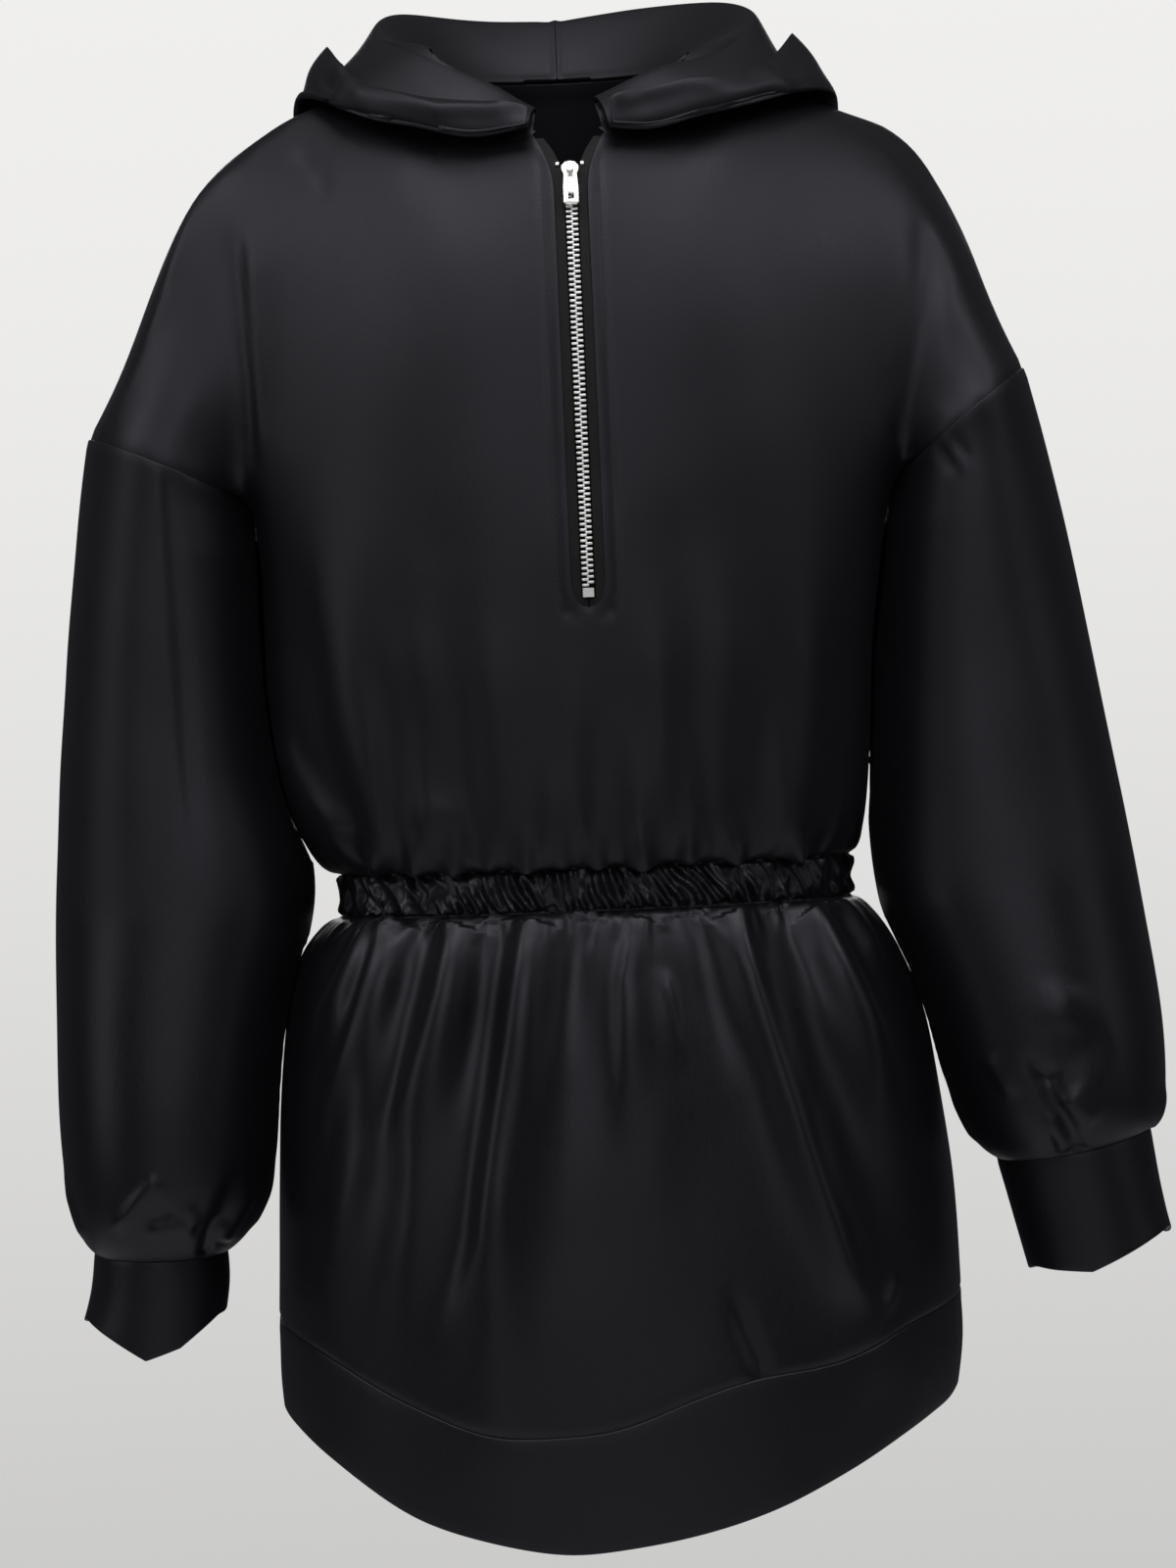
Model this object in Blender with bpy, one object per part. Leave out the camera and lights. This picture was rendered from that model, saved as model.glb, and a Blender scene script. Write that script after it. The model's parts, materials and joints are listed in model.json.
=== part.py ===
"""A hooded half-zip sweatshirt dress, worn upright with no wearer inside it.

Metres, +Z up. The front faces -Y, and the wearer's right sleeve is at -X. The
origin is the middle of the neck opening. Every piece of cloth is a thin sheet:
a flat grid is cut, each of its points is placed by the garment's sections, and
the sheet is then given its thickness. Neighbours share the line of their seam.
"""
import math
from collections import namedtuple

import bmesh
import bpy
from mathutils import Vector
from mathutils.bvhtree import BVHTree

# Thickness of the knit, of double-folded hems, and the gap left at each seam
CLOTH = 0.0018
DOUBLE_CLOTH = 0.0030
SEAM_GAP = 0.0005
FACING_LIMIT = 0.6
ARMPIT_THINNING = 0.56
ARMPIT_REACH = 0.080
LEFT, RIGHT = -1, 1
FRONT, BACK = -1, 1

# Bodice: the heights where its sections change, and how square they are
ARMPIT_Z = -0.214
WAIST_TOP_Z = -0.4134
WAIST_LOW_Z = -0.4346
SQUARENESS = 2.35
SHOULDER_ROWS = 10
BODY_ROWS = 9
SHOULDER_COLUMNS = 11
FRONT_NECK_COLUMNS = 8
BACK_NECK_COLUMNS = 8
NECK_SHARE = 0.40
SLIT_END_ROW = 3

# One row for each level section of the bodice: half-widths and depths
Section = namedtuple("Section", "z left right front back")
BODICE = [
    Section(-0.020, 0.170, 0.176, 0.070, 0.072),
    Section(-0.100, 0.173, 0.180, 0.092, 0.092),
    Section(-0.160, 0.173, 0.177, 0.112, 0.100),
    Section(-0.214, 0.172, 0.169, 0.122, 0.102),
    Section(-0.256, 0.1715, 0.1635, 0.125, 0.101),
    Section(-0.310, 0.1715, 0.1555, 0.121, 0.097),
    Section(-0.357, 0.1665, 0.1525, 0.117, 0.094),
    Section(-0.384, 0.1605, 0.1500, 0.116, 0.093),
    Section(-0.399, 0.1530, 0.1475, 0.114, 0.092),
    Section(-0.408, 0.1440, 0.1440, 0.110, 0.089),
    Section(WAIST_TOP_Z, 0.1375, 0.1405, 0.106, 0.086),
]
SKIRT = [
    Section(WAIST_LOW_Z, 0.1375, 0.1405, 0.106, 0.086),
    Section(-0.4420, 0.1485, 0.1490, 0.111, 0.093),
    Section(-0.4560, 0.1590, 0.1600, 0.115, 0.101),
    Section(-0.4768, 0.1655, 0.1695, 0.119, 0.111),
    Section(-0.5005, 0.1695, 0.1765, 0.123, 0.119),
    Section(-0.5300, 0.1725, 0.1808, 0.127, 0.126),
    Section(-0.5600, 0.1745, 0.1850, 0.132, 0.130),
    Section(-0.6012, 0.1760, 0.1880, 0.137, 0.132),
    Section(-0.6434, 0.1785, 0.1890, 0.142, 0.133),
    Section(-0.6700, 0.1785, 0.1900, 0.145, 0.134),
    Section(-0.7041, 0.1770, 0.1840, 0.147, 0.133),
    Section(-0.7620, 0.1700, 0.1750, 0.146, 0.130),
]

# The neck opening: half-width, depths, and the heights of its low points
NECK_SIDE_X = 0.076
NECK_SIDE_Z = 0.016
NECK_FRONT_Y = -0.078
NECK_FRONT_Z = -0.038
NECK_TIP_RISE = 0.007
NECK_BACK_Y = 0.060
NECK_BACK_Z = 0.021

# The line of the shoulder, from the neck down the arm to the armhole seam
ShoulderPoint = namedtuple("ShoulderPoint", "out x z")
SHOULDERS = {
    LEFT: [
        ShoulderPoint(0.00, 0.0760, 0.0160),
        ShoulderPoint(0.17, 0.1120, 0.0085),
        ShoulderPoint(0.33, 0.1480, -0.0010),
        ShoulderPoint(0.47, 0.1812, -0.0145),
        ShoulderPoint(0.58, 0.2078, -0.0412),
        ShoulderPoint(0.78, 0.2318, -0.1050),
        ShoulderPoint(1.00, 0.2625, -0.1740),
    ],
    RIGHT: [
        ShoulderPoint(0.00, 0.0760, 0.0160),
        ShoulderPoint(0.19, 0.1180, 0.0045),
        ShoulderPoint(0.37, 0.1568, -0.0110),
        ShoulderPoint(0.51, 0.1892, -0.0235),
        ShoulderPoint(0.70, 0.2165, -0.0680),
        ShoulderPoint(0.86, 0.2335, -0.1185),
        ShoulderPoint(1.00, 0.2454, -0.1568),
    ],
}
# How far each shoulder seam lies in front of the shoulder line at the armhole
SEAM_TURN = {LEFT: math.radians(42), RIGHT: math.radians(-14)}
UPPER_ARM_DEPTH = 0.076

# One row for each ring of a sleeve: its outer and inner points in the front view
Ring = namedtuple("Ring", "place out_x out_z in_x in_z mid_y half_depth dip")
SLEEVES = {
    LEFT: [
        Ring(0.0, 0.2625, -0.1740, 0.1720, -0.2140, 0.000, 0.076, 0.0),
        Ring(1.0, 0.2712, -0.2290, 0.1733, -0.2560, -0.001, 0.074, 0.0),
        Ring(2.0, 0.2775, -0.2830, 0.1727, -0.3060, -0.004, 0.072, 0.0),
        Ring(3.0, 0.2845, -0.3575, 0.1680, -0.3640, -0.010, 0.070, 0.0),
        Ring(4.0, 0.2888, -0.4200, 0.1520, -0.4140, -0.016, 0.069, 0.0),
        Ring(5.0, 0.2902, -0.4800, 0.1672, -0.4740, -0.023, 0.068, 0.0),
        Ring(6.0, 0.2895, -0.5350, 0.1744, -0.5260, -0.030, 0.067, 0.0),
        Ring(7.0, 0.2858, -0.5750, 0.1790, -0.5680, -0.035, 0.062, 0.0),
        Ring(8.0, 0.2792, -0.5965, 0.1885, -0.5950, -0.039, 0.051, 0.0),
        Ring(9.0, 0.2725, -0.6050, 0.2000, -0.6070, -0.041, 0.040, -0.002),
    ],
    RIGHT: [
        Ring(0.0, 0.2454, -0.1568, 0.1690, -0.2140, 0.000, 0.076, 0.0),
        Ring(1.0, 0.2590, -0.2150, 0.1645, -0.2560, -0.001, 0.074, 0.0),
        Ring(2.0, 0.2712, -0.2865, 0.1575, -0.3060, -0.004, 0.072, 0.0),
        Ring(3.0, 0.2825, -0.3600, 0.1535, -0.3640, -0.010, 0.070, 0.0),
        Ring(4.0, 0.2922, -0.4280, 0.1555, -0.4200, -0.017, 0.069, 0.0),
        Ring(5.0, 0.2982, -0.4750, 0.1682, -0.4680, -0.024, 0.068, 0.0),
        Ring(6.0, 0.3004, -0.5080, 0.1798, -0.5130, -0.030, 0.067, 0.0),
        Ring(7.0, 0.2998, -0.5380, 0.1880, -0.5470, -0.035, 0.062, 0.0),
        Ring(8.0, 0.2965, -0.5550, 0.1965, -0.5680, -0.040, 0.052, 0.0),
        Ring(9.0, 0.2900, -0.5620, 0.2065, -0.5770, -0.042, 0.043, -0.002),
    ],
}
CUFFS = {
    LEFT: [
        Ring(0.0, 0.2725, -0.6050, 0.2000, -0.6070, -0.041, 0.040, -0.002),
        Ring(1.0, 0.2735, -0.6230, 0.1992, -0.6230, -0.043, 0.038, -0.009),
        Ring(2.0, 0.2792, -0.6400, 0.2010, -0.6370, -0.045, 0.036, -0.020),
    ],
    RIGHT: [
        Ring(0.0, 0.2900, -0.5620, 0.2065, -0.5770, -0.042, 0.043, -0.002),
        Ring(1.0, 0.2930, -0.5910, 0.2135, -0.6060, -0.044, 0.040, -0.003),
        Ring(2.0, 0.2985, -0.6190, 0.2205, -0.6360, -0.046, 0.038, -0.004),
    ],
}
SLEEVE_ROWS = 15
CUFF_ROWS = 2

# The skirt's hem seam and edge across the front, by share of the half-width
Hem = namedtuple("Hem", "share seam_z edge_z")
FRONT_HEM = [
    Hem(-1.00, -0.6480, -0.6930),
    Hem(-0.85, -0.6570, -0.7100),
    Hem(-0.60, -0.6790, -0.7370),
    Hem(-0.36, -0.6950, -0.7495),
    Hem(-0.14, -0.6965, -0.7555),
    Hem(0.03, -0.6930, -0.7535),
    Hem(0.20, -0.6815, -0.7490),
    Hem(0.38, -0.6725, -0.7420),
    Hem(0.60, -0.6685, -0.7280),
    Hem(0.80, -0.6555, -0.7110),
    Hem(1.00, -0.6480, -0.6970),
]
BACK_SEAM_DROP = 0.050
BACK_EDGE_DROP = 0.066
SKIRT_FRONT_COLUMNS = 38
SKIRT_BACK_COLUMNS = 30
SKIRT_ROWS = 8
HEM_ROWS = 2

# The elastic casing and its puckers
CASING_PUCKERS = 44
CASING_COLUMNS = CASING_PUCKERS * 4
CASING_ROWS = 2
PUCKER_HEIGHT = 0.0044
CASING_BULGE = 0.0016
PUCKER_SLANT = 0.9

# Folds, as lines in the front view: a trough has a negative height
Fold = namedtuple("Fold", "top_x top_z low_x low_z top_width low_width height")
BODICE_FOLDS = [
    Fold(-0.110, -0.390, -0.127, -0.230, 0.008, 0.016, 0.0059),
    Fold(-0.075, -0.398, -0.092, -0.260, 0.007, 0.014, 0.0065),
    Fold(-0.038, -0.402, -0.050, -0.270, 0.007, 0.013, 0.0059),
    Fold(-0.004, -0.404, -0.006, -0.310, 0.006, 0.011, 0.0052),
    Fold(0.034, -0.404, 0.040, -0.270, 0.007, 0.013, 0.0065),
    Fold(0.070, -0.400, 0.078, -0.250, 0.007, 0.014, 0.0065),
    Fold(0.106, -0.398, 0.118, -0.240, 0.008, 0.015, 0.0059),
]
ARMPIT_FOLDS = {
    LEFT: Fold(-0.187, -0.060, -0.1745, -0.222, 0.0095, 0.013, -0.024),
    RIGHT: Fold(0.194, -0.070, 0.1735, -0.222, 0.009, 0.012, -0.024),
}
ARMPIT_FOLD_LIMIT = 0.4
SKIRT_FOLDS = [
    Fold(-0.1190, -0.444, -0.1480, -0.560, 0.006, 0.012, 0.0087),
    Fold(-0.1030, -0.444, -0.1420, -0.640, 0.006, 0.014, 0.0094),
    Fold(-0.0720, -0.448, -0.1080, -0.660, 0.008, 0.018, 0.0116),
    Fold(-0.0320, -0.446, -0.0640, -0.690, 0.007, 0.016, 0.0138),
    Fold(0.0220, -0.446, 0.0120, -0.600, 0.006, 0.012, 0.0080),
    Fold(0.0420, -0.450, 0.0460, -0.560, 0.005, 0.009, 0.0058),
    Fold(0.0740, -0.444, 0.1350, -0.670, 0.007, 0.016, 0.0138),
    Fold(0.1180, -0.446, 0.1500, -0.560, 0.006, 0.013, 0.0094),
]
BACK_SKIRT_FOLDS = [
    Fold(-0.1150, -0.444, -0.1450, -0.600, 0.006, 0.013, 0.0087),
    Fold(-0.0700, -0.446, -0.0980, -0.680, 0.007, 0.016, 0.0123),
    Fold(-0.0250, -0.446, -0.0300, -0.640, 0.006, 0.014, 0.0101),
    Fold(0.0250, -0.446, 0.0450, -0.690, 0.007, 0.015, 0.0123),
    Fold(0.0800, -0.444, 0.1050, -0.620, 0.006, 0.015, 0.0101),
    Fold(0.1200, -0.446, 0.1500, -0.600, 0.006, 0.013, 0.0087),
]
BACK_BODICE_FOLDS = [
    Fold(-0.105, -0.396, -0.118, -0.240, 0.008, 0.015, 0.0050),
    Fold(-0.060, -0.402, -0.070, -0.260, 0.007, 0.014, 0.0055),
    Fold(-0.015, -0.404, -0.020, -0.280, 0.007, 0.013, 0.0045),
    Fold(0.030, -0.404, 0.038, -0.250, 0.007, 0.014, 0.0055),
    Fold(0.075, -0.400, 0.088, -0.270, 0.007, 0.014, 0.0050),
    Fold(0.112, -0.396, 0.120, -0.260, 0.008, 0.014, 0.0045),
]

# The hood, thrown back: sections round the neck from the zip to the nape
# turn is the angle round the neck, then radius and height of three edges:
# the lean against the neck, the bottom of the pouch, and the face opening
HoodSection = namedtuple("HoodSection", "turn lean_r lean_z pouch_r pouch_z edge_r edge_z")
HOODS = {
    LEFT: [
        HoodSection(12, 0.0700, -0.0190, 0.0905, -0.0300, 0.0870, -0.0195),
        HoodSection(27, 0.0665, -0.0060, 0.0940, -0.0335, 0.0895, -0.0145),
        HoodSection(45, 0.0720, 0.0060, 0.1000, -0.0290, 0.0975, -0.0130),
        HoodSection(65, 0.0810, 0.0200, 0.1180, -0.0150, 0.1115, 0.0010),
        HoodSection(85, 0.0930, 0.0310, 0.1370, 0.0020, 0.1210, 0.0275),
        HoodSection(107, 0.1010, 0.0500, 0.1470, -0.0260, 0.1290, 0.0325),
        HoodSection(130, 0.1090, 0.0640, 0.1500, -0.1000, 0.1520, 0.0350),
        HoodSection(155, 0.1000, 0.0620, 0.1330, -0.1660, 0.1540, 0.0330),
        HoodSection(180, 0.0940, 0.0600, 0.1230, -0.1820, 0.1500, 0.0320),
    ],
    RIGHT: [
        HoodSection(8, 0.0700, -0.0190, 0.0905, -0.0300, 0.0870, -0.0195),
        HoodSection(27, 0.0665, -0.0080, 0.0940, -0.0335, 0.0895, -0.0130),
        HoodSection(45, 0.0730, 0.0030, 0.1010, -0.0290, 0.0980, -0.0100),
        HoodSection(65, 0.0830, 0.0110, 0.1200, -0.0160, 0.1135, 0.0000),
        HoodSection(85, 0.0970, 0.0240, 0.1460, -0.0040, 0.1260, 0.0265),
        HoodSection(107, 0.1140, 0.0480, 0.1520, -0.0300, 0.1330, 0.0315),
        HoodSection(130, 0.1170, 0.0640, 0.1520, -0.1000, 0.1550, 0.0350),
        HoodSection(155, 0.1030, 0.0655, 0.1340, -0.1660, 0.1550, 0.0330),
        HoodSection(180, 0.0940, 0.0600, 0.1230, -0.1820, 0.1500, 0.0320),
    ],
}
HOOD_ROWS = 14
HOOD_REST = 0.0065
HOOD_FOLD = 0.0040
HOOD_BULGE = 0.006
NAPE_BULGE = 0.010

# The zip: its middle line, chain, tapes and the open tails above it
ZIP_X = 0.0045
SLIT_HALF = 0.0085
SLIT_END_Z = -0.2815
CHAIN_HALF = 0.0031
CHAIN_DEPTH = 0.0024
CHAIN_INSET = 0.0004
CHAIN_TOP_Z = -0.0545
CHAIN_END_Z = -0.2705
STOP_END_Z = -0.2758
TAPE_HALF = 0.0150
TAPE_THICKNESS = 0.0007
TAPE_GAP = 0.0003
TAPE_UNDER = 0.0006
TAPE_UNDERLAP = 0.006
TAPE_ROWS = 16
CHAIN_ROWS = 26
FLARE_START_Z = -0.0520
FLARE_END_Z = -0.0300
FLARE_WIDTH = 0.0120
SLIT_REACH = 0.0030
SLIT_READ_TOP_Z = -0.0420

# The slider and its pull tab
SLIDER_TOP_Z = -0.0490
SLIDER_LENGTH = 0.0090
SLIDER_SHOULDER = 0.0044
SLIDER_WAIST = 0.0034
SLIDER_PLATE = 0.0012
SLIDER_GAP = 0.0004
BRIDGE_HEIGHT = 0.0032
BRIDGE_WIDTH = 0.0022
BRIDGE_WIRE = 0.0011
TAB_LENGTH = 0.0215
TAB_WIDTH = 0.0078
TAB_THICKNESS = 0.0011
TAB_CORNER = 0.0012
TAB_EYE = 0.0034
TAB_EYE_LENGTH = 0.0046
TAB_WINDOW = 0.0030
TAB_WINDOW_LENGTH = 0.0036
TAB_WINDOW_RISE = 0.0048
TOP_STOP_X = 0.0064
TOP_STOP_HALF = 0.0011
TOP_STOP_Z = -0.0478
TOP_STOP_LENGTH = 0.0020
TOP_STOP_INSET = 0.0006
TOP_STOP_DEPTH = 0.0015

Finish = namedtuple("Finish", "color roughness metallic")
FINISHES = {
    "knit": Finish((0.012, 0.012, 0.014), 0.50, 0.0),
    "knit_hem": Finish((0.013, 0.013, 0.015), 0.52, 0.0),
    "casing_knit": Finish((0.014, 0.014, 0.016), 0.48, 0.0),
    "tape": Finish((0.010, 0.010, 0.011), 0.85, 0.0),
    "zip_metal": Finish((0.72, 0.72, 0.74), 0.28, 1.0),
}


def clear_scene():
    for item in list(bpy.data.objects):
        bpy.data.objects.remove(item, do_unlink=True)


def read(table, place, column):
    """A smooth curve through one column of a table, by the table's first column."""
    places = [row[0] for row in table]
    values = [getattr(row, column) for row in table]
    if places[0] > places[-1]:
        places.reverse()
        values.reverse()
    place = min(max(place, places[0]), places[-1])
    index = 0
    while index < len(places) - 2 and place > places[index + 1]:
        index += 1
    slopes = []
    for k in (index, index + 1):
        before, after = max(k - 1, 0), min(k + 1, len(places) - 1)
        slopes.append((values[after] - values[before]) / (places[after] - places[before]))
    span = places[index + 1] - places[index]
    t = (place - places[index]) / span
    start = values[index] * (1 + 2 * t) * (1 - t) ** 2 + slopes[0] * span * t * (1 - t) ** 2
    end = values[index + 1] * t * t * (3 - 2 * t) + slopes[1] * span * t * t * (t - 1)
    return start + end


def ease(t):
    t = min(max(t, 0.0), 1.0)
    return t * t * (3 - 2 * t)


def spline(points, t):
    """A point at share t along a smooth curve through a few points."""
    scaled = min(max(t, 0.0), 1.0) * (len(points) - 1)
    index = min(int(scaled), len(points) - 2)
    t = scaled - index
    a, b = points[index], points[index + 1]
    before = points[index - 1] if index > 0 else a * 2 - b
    after = points[index + 2] if index + 2 < len(points) else b * 2 - a
    first, span, third = (a - before).length ** 0.5, (b - a).length ** 0.5, (after - b).length ** 0.5
    slope_a = (a - before) / first - (b - before) / (first + span) + (b - a) / span
    slope_b = (b - a) / span - (after - a) / (span + third) + (after - b) / third
    blend_a = a * ((1 + 2 * t) * (1 - t) ** 2) + slope_a * (span * t * (1 - t) ** 2)
    return blend_a + b * (t * t * (3 - 2 * t)) + slope_b * (span * t * t * (t - 1))


def half_width(table, x, z):
    return read(table, z, "left" if x < 0 else "right")


def section_y(table, x, z, face):
    """Depth of a level section at x, on its front or its back."""
    width = half_width(table, x, z)
    share = min(abs(x) / width, 1.0)
    depth = read(table, z, "front" if face == FRONT else "back")
    return face * depth * (1 - share ** SQUARENESS) ** (1 / SQUARENESS)


def fold_height(folds, x, z):
    """Sum of the folds at a point of the front view."""
    total = 0.0
    for fold in folds:
        along = (z - fold.top_z) / (fold.low_z - fold.top_z)
        if not -0.15 < along < 1.15:
            continue
        middle = fold.top_x + (fold.low_x - fold.top_x) * along
        clamped = min(max(along, 0.0), 1.0)
        width = fold.top_width + (fold.low_width - fold.top_width) * clamped
        fade = ease((along + 0.15) / 0.35) * ease((1.15 - along) / 0.55)
        total += fold.height * fade * math.exp(-((x - middle) / width) ** 2)
    return total


def push_out(point, table, z, height):
    """Move a point of a level section along the section's outward direction."""
    width = half_width(table, point.x, z)
    depth = read(table, z, "front" if point.y < 0 else "back")
    outward = Vector((point.x / width ** 2, point.y / depth ** 2, 0.0))
    if outward.length > 0:
        point = point + outward.normalized() * height
    return point


# Bodice

def slit_offset(z):
    """How far the zip's edges flare from its middle line near the neck."""
    return FLARE_WIDTH * ease((z - FLARE_START_Z) / (FLARE_END_Z - FLARE_START_Z) * 0.8)


def slit_edge(side, z):
    return ZIP_X + side * (SLIT_HALF + slit_offset(z))


def shoulder_line(side, out):
    table = SHOULDERS[side]
    return Vector((side * read(table, out, "x"), 0.0, read(table, out, "z")))


def neck_line(side, face, share):
    """The neckline from the middle (share 0) to the shoulder (share 1)."""
    turn = share * math.pi / 2
    if face == FRONT:
        tip_x = slit_edge(side, NECK_FRONT_Z + NECK_TIP_RISE)
        x = tip_x + (side * NECK_SIDE_X - tip_x) * math.sin(turn)
        y = NECK_FRONT_Y * math.cos(turn)
        z = NECK_SIDE_Z + (NECK_FRONT_Z - NECK_SIDE_Z) * math.cos(turn) ** 1.4
        z += NECK_TIP_RISE * (1 - ease(share * 4))
    else:
        x = side * NECK_SIDE_X * math.sin(turn)
        y = NECK_BACK_Y * math.cos(turn)
        z = NECK_SIDE_Z + (NECK_BACK_Z - NECK_SIDE_Z) * math.cos(turn)
    return Vector((x, y, z))


def column_count(face):
    necks = FRONT_NECK_COLUMNS if face == FRONT else BACK_NECK_COLUMNS
    return necks, necks + SHOULDER_COLUMNS


def column_x(side, face, column, z):
    """Where a column of the bodice crosses level z, below the armpit."""
    necks, last = column_count(face)
    width = half_width(BODICE, side, z)
    start = ZIP_X * side + SLIT_HALF if face == FRONT else 0.0
    if column <= necks:
        share = NECK_SHARE * column / necks
    else:
        share = NECK_SHARE + (1 - NECK_SHARE) * (column - necks) / (last - necks)
    bent = math.sin(share * math.pi / 2) ** 0.92
    return side * (start + (width - start) * bent)


def level_point(side, face, column, z):
    x = column_x(side, face, column, z)
    return Vector((x, section_y(BODICE, x, z, face), z))


def bodice_top(side, face, column):
    necks, last = column_count(face)
    if column <= necks:
        return neck_line(side, face, column / necks)
    return shoulder_line(side, (column - necks) / (last - necks))


def shoulder_arc(side, face, column, turn):
    """A point on a column's arc from the shoulder line to the armpit level."""
    necks, last = column_count(face)
    out = max(column - necks, 0) / (last - necks)
    top = bodice_top(side, face, column)
    end = level_point(side, face, column, ARMPIT_Z)
    reach = max(abs(end.y - top.y), UPPER_ARM_DEPTH * ease(out * 1.6))
    end_turn = math.pi - math.asin(min(abs(end.y - top.y) / reach, 1.0))
    start_turn = math.radians(38) * (1 - ease(column / necks)) if column < necks else 0.0
    if column < necks:
        forward = (math.sin(turn) - math.sin(start_turn)) / (1 - math.sin(start_turn))
        drop = (math.cos(start_turn) - math.cos(turn)) / math.cos(start_turn)
        forward *= abs(end.y - top.y)
    else:
        forward = reach * abs(math.sin(turn))
        drop = (1 - math.cos(turn)) / (1 - math.cos(end_turn))
    drift = max(drop, 0.0) ** (0.45 + 0.55 * out)
    x = top.x + (end.x - top.x) * drift
    z = top.z + (end.z - top.z) * drop
    if face == FRONT and column < necks:
        edge = slit_edge(side, z)
        straight = slit_edge(side, top.z) * (1 - drift) + slit_edge(side, ARMPIT_Z) * drift
        x += (edge - straight) * (1 - column / necks)
    return Vector((x, top.y + face * forward, z)), start_turn, end_turn


def seam_turn(side, column, face):
    """Where the shoulder seam runs on the arc, ahead of the shoulder line."""
    necks, last = column_count(face)
    out = max(column - necks, 0) / (last - necks)
    return SEAM_TURN[side] * ease(out * 1.2)


def body_level(row):
    """Heights of the rows below the armpit: one is the zip's end, the last the waist."""
    if row <= SLIT_END_ROW:
        return ARMPIT_Z + (SLIT_END_Z - ARMPIT_Z) * row / SLIT_END_ROW
    share = (row - SLIT_END_ROW) / (BODY_ROWS - SLIT_END_ROW)
    return SLIT_END_Z + (WAIST_TOP_Z - SLIT_END_Z) * (1 - (1 - share) ** 1.35)


def bodice_point(side, face, column, row):
    """Row 0 is the neckline or shoulder seam, and the last row is the waist seam."""
    necks, last = column_count(face)
    if row <= SHOULDER_ROWS:
        _, start, end = shoulder_arc(side, face, column, 0.0)
        if column >= necks:
            start = -face * seam_turn(side, column, face)
        share = (row / SHOULDER_ROWS) ** (0.82 + 0.18 * column / last)
        turn = start + (end - start) * share
        if turn < 0 and column >= necks:
            other = column - necks + column_count(-face)[0]
            point = shoulder_arc(side, -face, other, -turn)[0]
        else:
            point = shoulder_arc(side, face, column, turn)[0]
    else:
        point = level_point(side, face, column, body_level(row - SHOULDER_ROWS))
    if column == last:
        return point
    trough = fold_height([ARMPIT_FOLDS[side]], point.x, point.z) * ease((last - column) / 3)
    if point.z < ARMPIT_Z:
        trough *= ease((point.z - ARMPIT_Z + 0.02) / 0.02)
    if row > 1:
        point.y += face * max(trough, -ARMPIT_FOLD_LIMIT * abs(point.y))
    if row > SHOULDER_ROWS:
        folds = BODICE_FOLDS if face == FRONT else BACK_BODICE_FOLDS
        low_fade = ease((point.z - WAIST_TOP_Z) / 0.006)
        point = push_out(point, BODICE, point.z, fold_height(folds, point.x, point.z) * low_fade)
    return point


# Sheets

def grid_sheet(columns, rows, place):
    """A flat grid whose points are moved to place(column, row)."""
    sheet = bmesh.new()
    bmesh.ops.create_grid(sheet, x_segments=columns, y_segments=rows, size=0.5)
    for vertex in sheet.verts:
        column = round((vertex.co.x + 0.5) * columns)
        row = round((0.5 - vertex.co.y) * rows)
        vertex.co = place(column, row)
    return sheet


def joined(sheets):
    """Sheets of one piece, sewn where their edges meet."""
    whole = bmesh.new()
    for sheet in sheets:
        mesh = bpy.data.meshes.new("piece")
        sheet.to_mesh(mesh)
        whole.from_mesh(mesh)
        bpy.data.meshes.remove(mesh)
        sheet.free()
    bmesh.ops.remove_doubles(whole, verts=whole.verts, dist=0.00002)
    bmesh.ops.recalc_face_normals(whole, faces=whole.faces)
    return whole


def key(point):
    return tuple(round(value * 20000) for value in point)


def shared_normals(sheets):
    """Outward directions at every point, common to the pieces that meet there."""
    normals = {}
    for sheet in sheets:
        sheet.normal_update()
        for face in sheet.faces:
            for vertex in face.verts:
                place = key(vertex.co)
                normals[place] = normals.get(place, Vector()) + face.normal * face.calc_area()
    return normals


def face_outward(sheet, toward):
    """Turn a sheet over if its first face doesn't look the given way."""
    sheet.normal_update()
    total = sum((face.normal.dot(toward(face.calc_center_median())) for face in sheet.faces))
    if total < 0:
        bmesh.ops.reverse_faces(sheet, faces=sheet.faces)
    return sheet


def ahead(point):
    return Vector((0.0, -1.0, 0.0))


def behind(point):
    return Vector((0.0, 1.0, 0.0))


def from_middle(point):
    return Vector((point.x, point.y, 0.0))


def from_arm(point):
    """Away from the middle line of the nearer sleeve."""
    share = ease((ARMPIT_Z - point.z) / 0.40)
    middle = math.copysign(0.215 + 0.03 * share, point.x)
    return Vector((point.x - middle, point.y + 0.035 * share, 0.0))


def tuck_edges(sheet, gap):
    """Draw every open edge back, and in, by half the seam gap."""
    moves = {}
    for vertex in sheet.verts:
        rim = [edge for edge in vertex.link_edges if edge.is_boundary]
        if not rim:
            continue
        inward = sum((face.calc_center_median() - vertex.co for face in vertex.link_faces), Vector())
        if len(rim) == 2:
            ends = [edge.other_vert(vertex).co for edge in rim]
            tangent = (ends[0] - ends[1]).normalized()
            if len(vertex.link_faces) > 1:
                inward -= tangent * inward.dot(tangent)
        moves[vertex] = (inward.normalized() - vertex.normal) * gap / 2
    for vertex, move in moves.items():
        vertex.co += move


def thinned(point):
    """The share of the wall left near an armpit, where four seams bunch up."""
    armpits = [Vector((side * SLEEVES[side][0].in_x, 0.0, ARMPIT_Z)) for side in (LEFT, RIGHT)]
    distance = min((point - armpit).length for armpit in armpits)
    return ARMPIT_THINNING + (1 - ARMPIT_THINNING) * ease(distance / ARMPIT_REACH)


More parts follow.
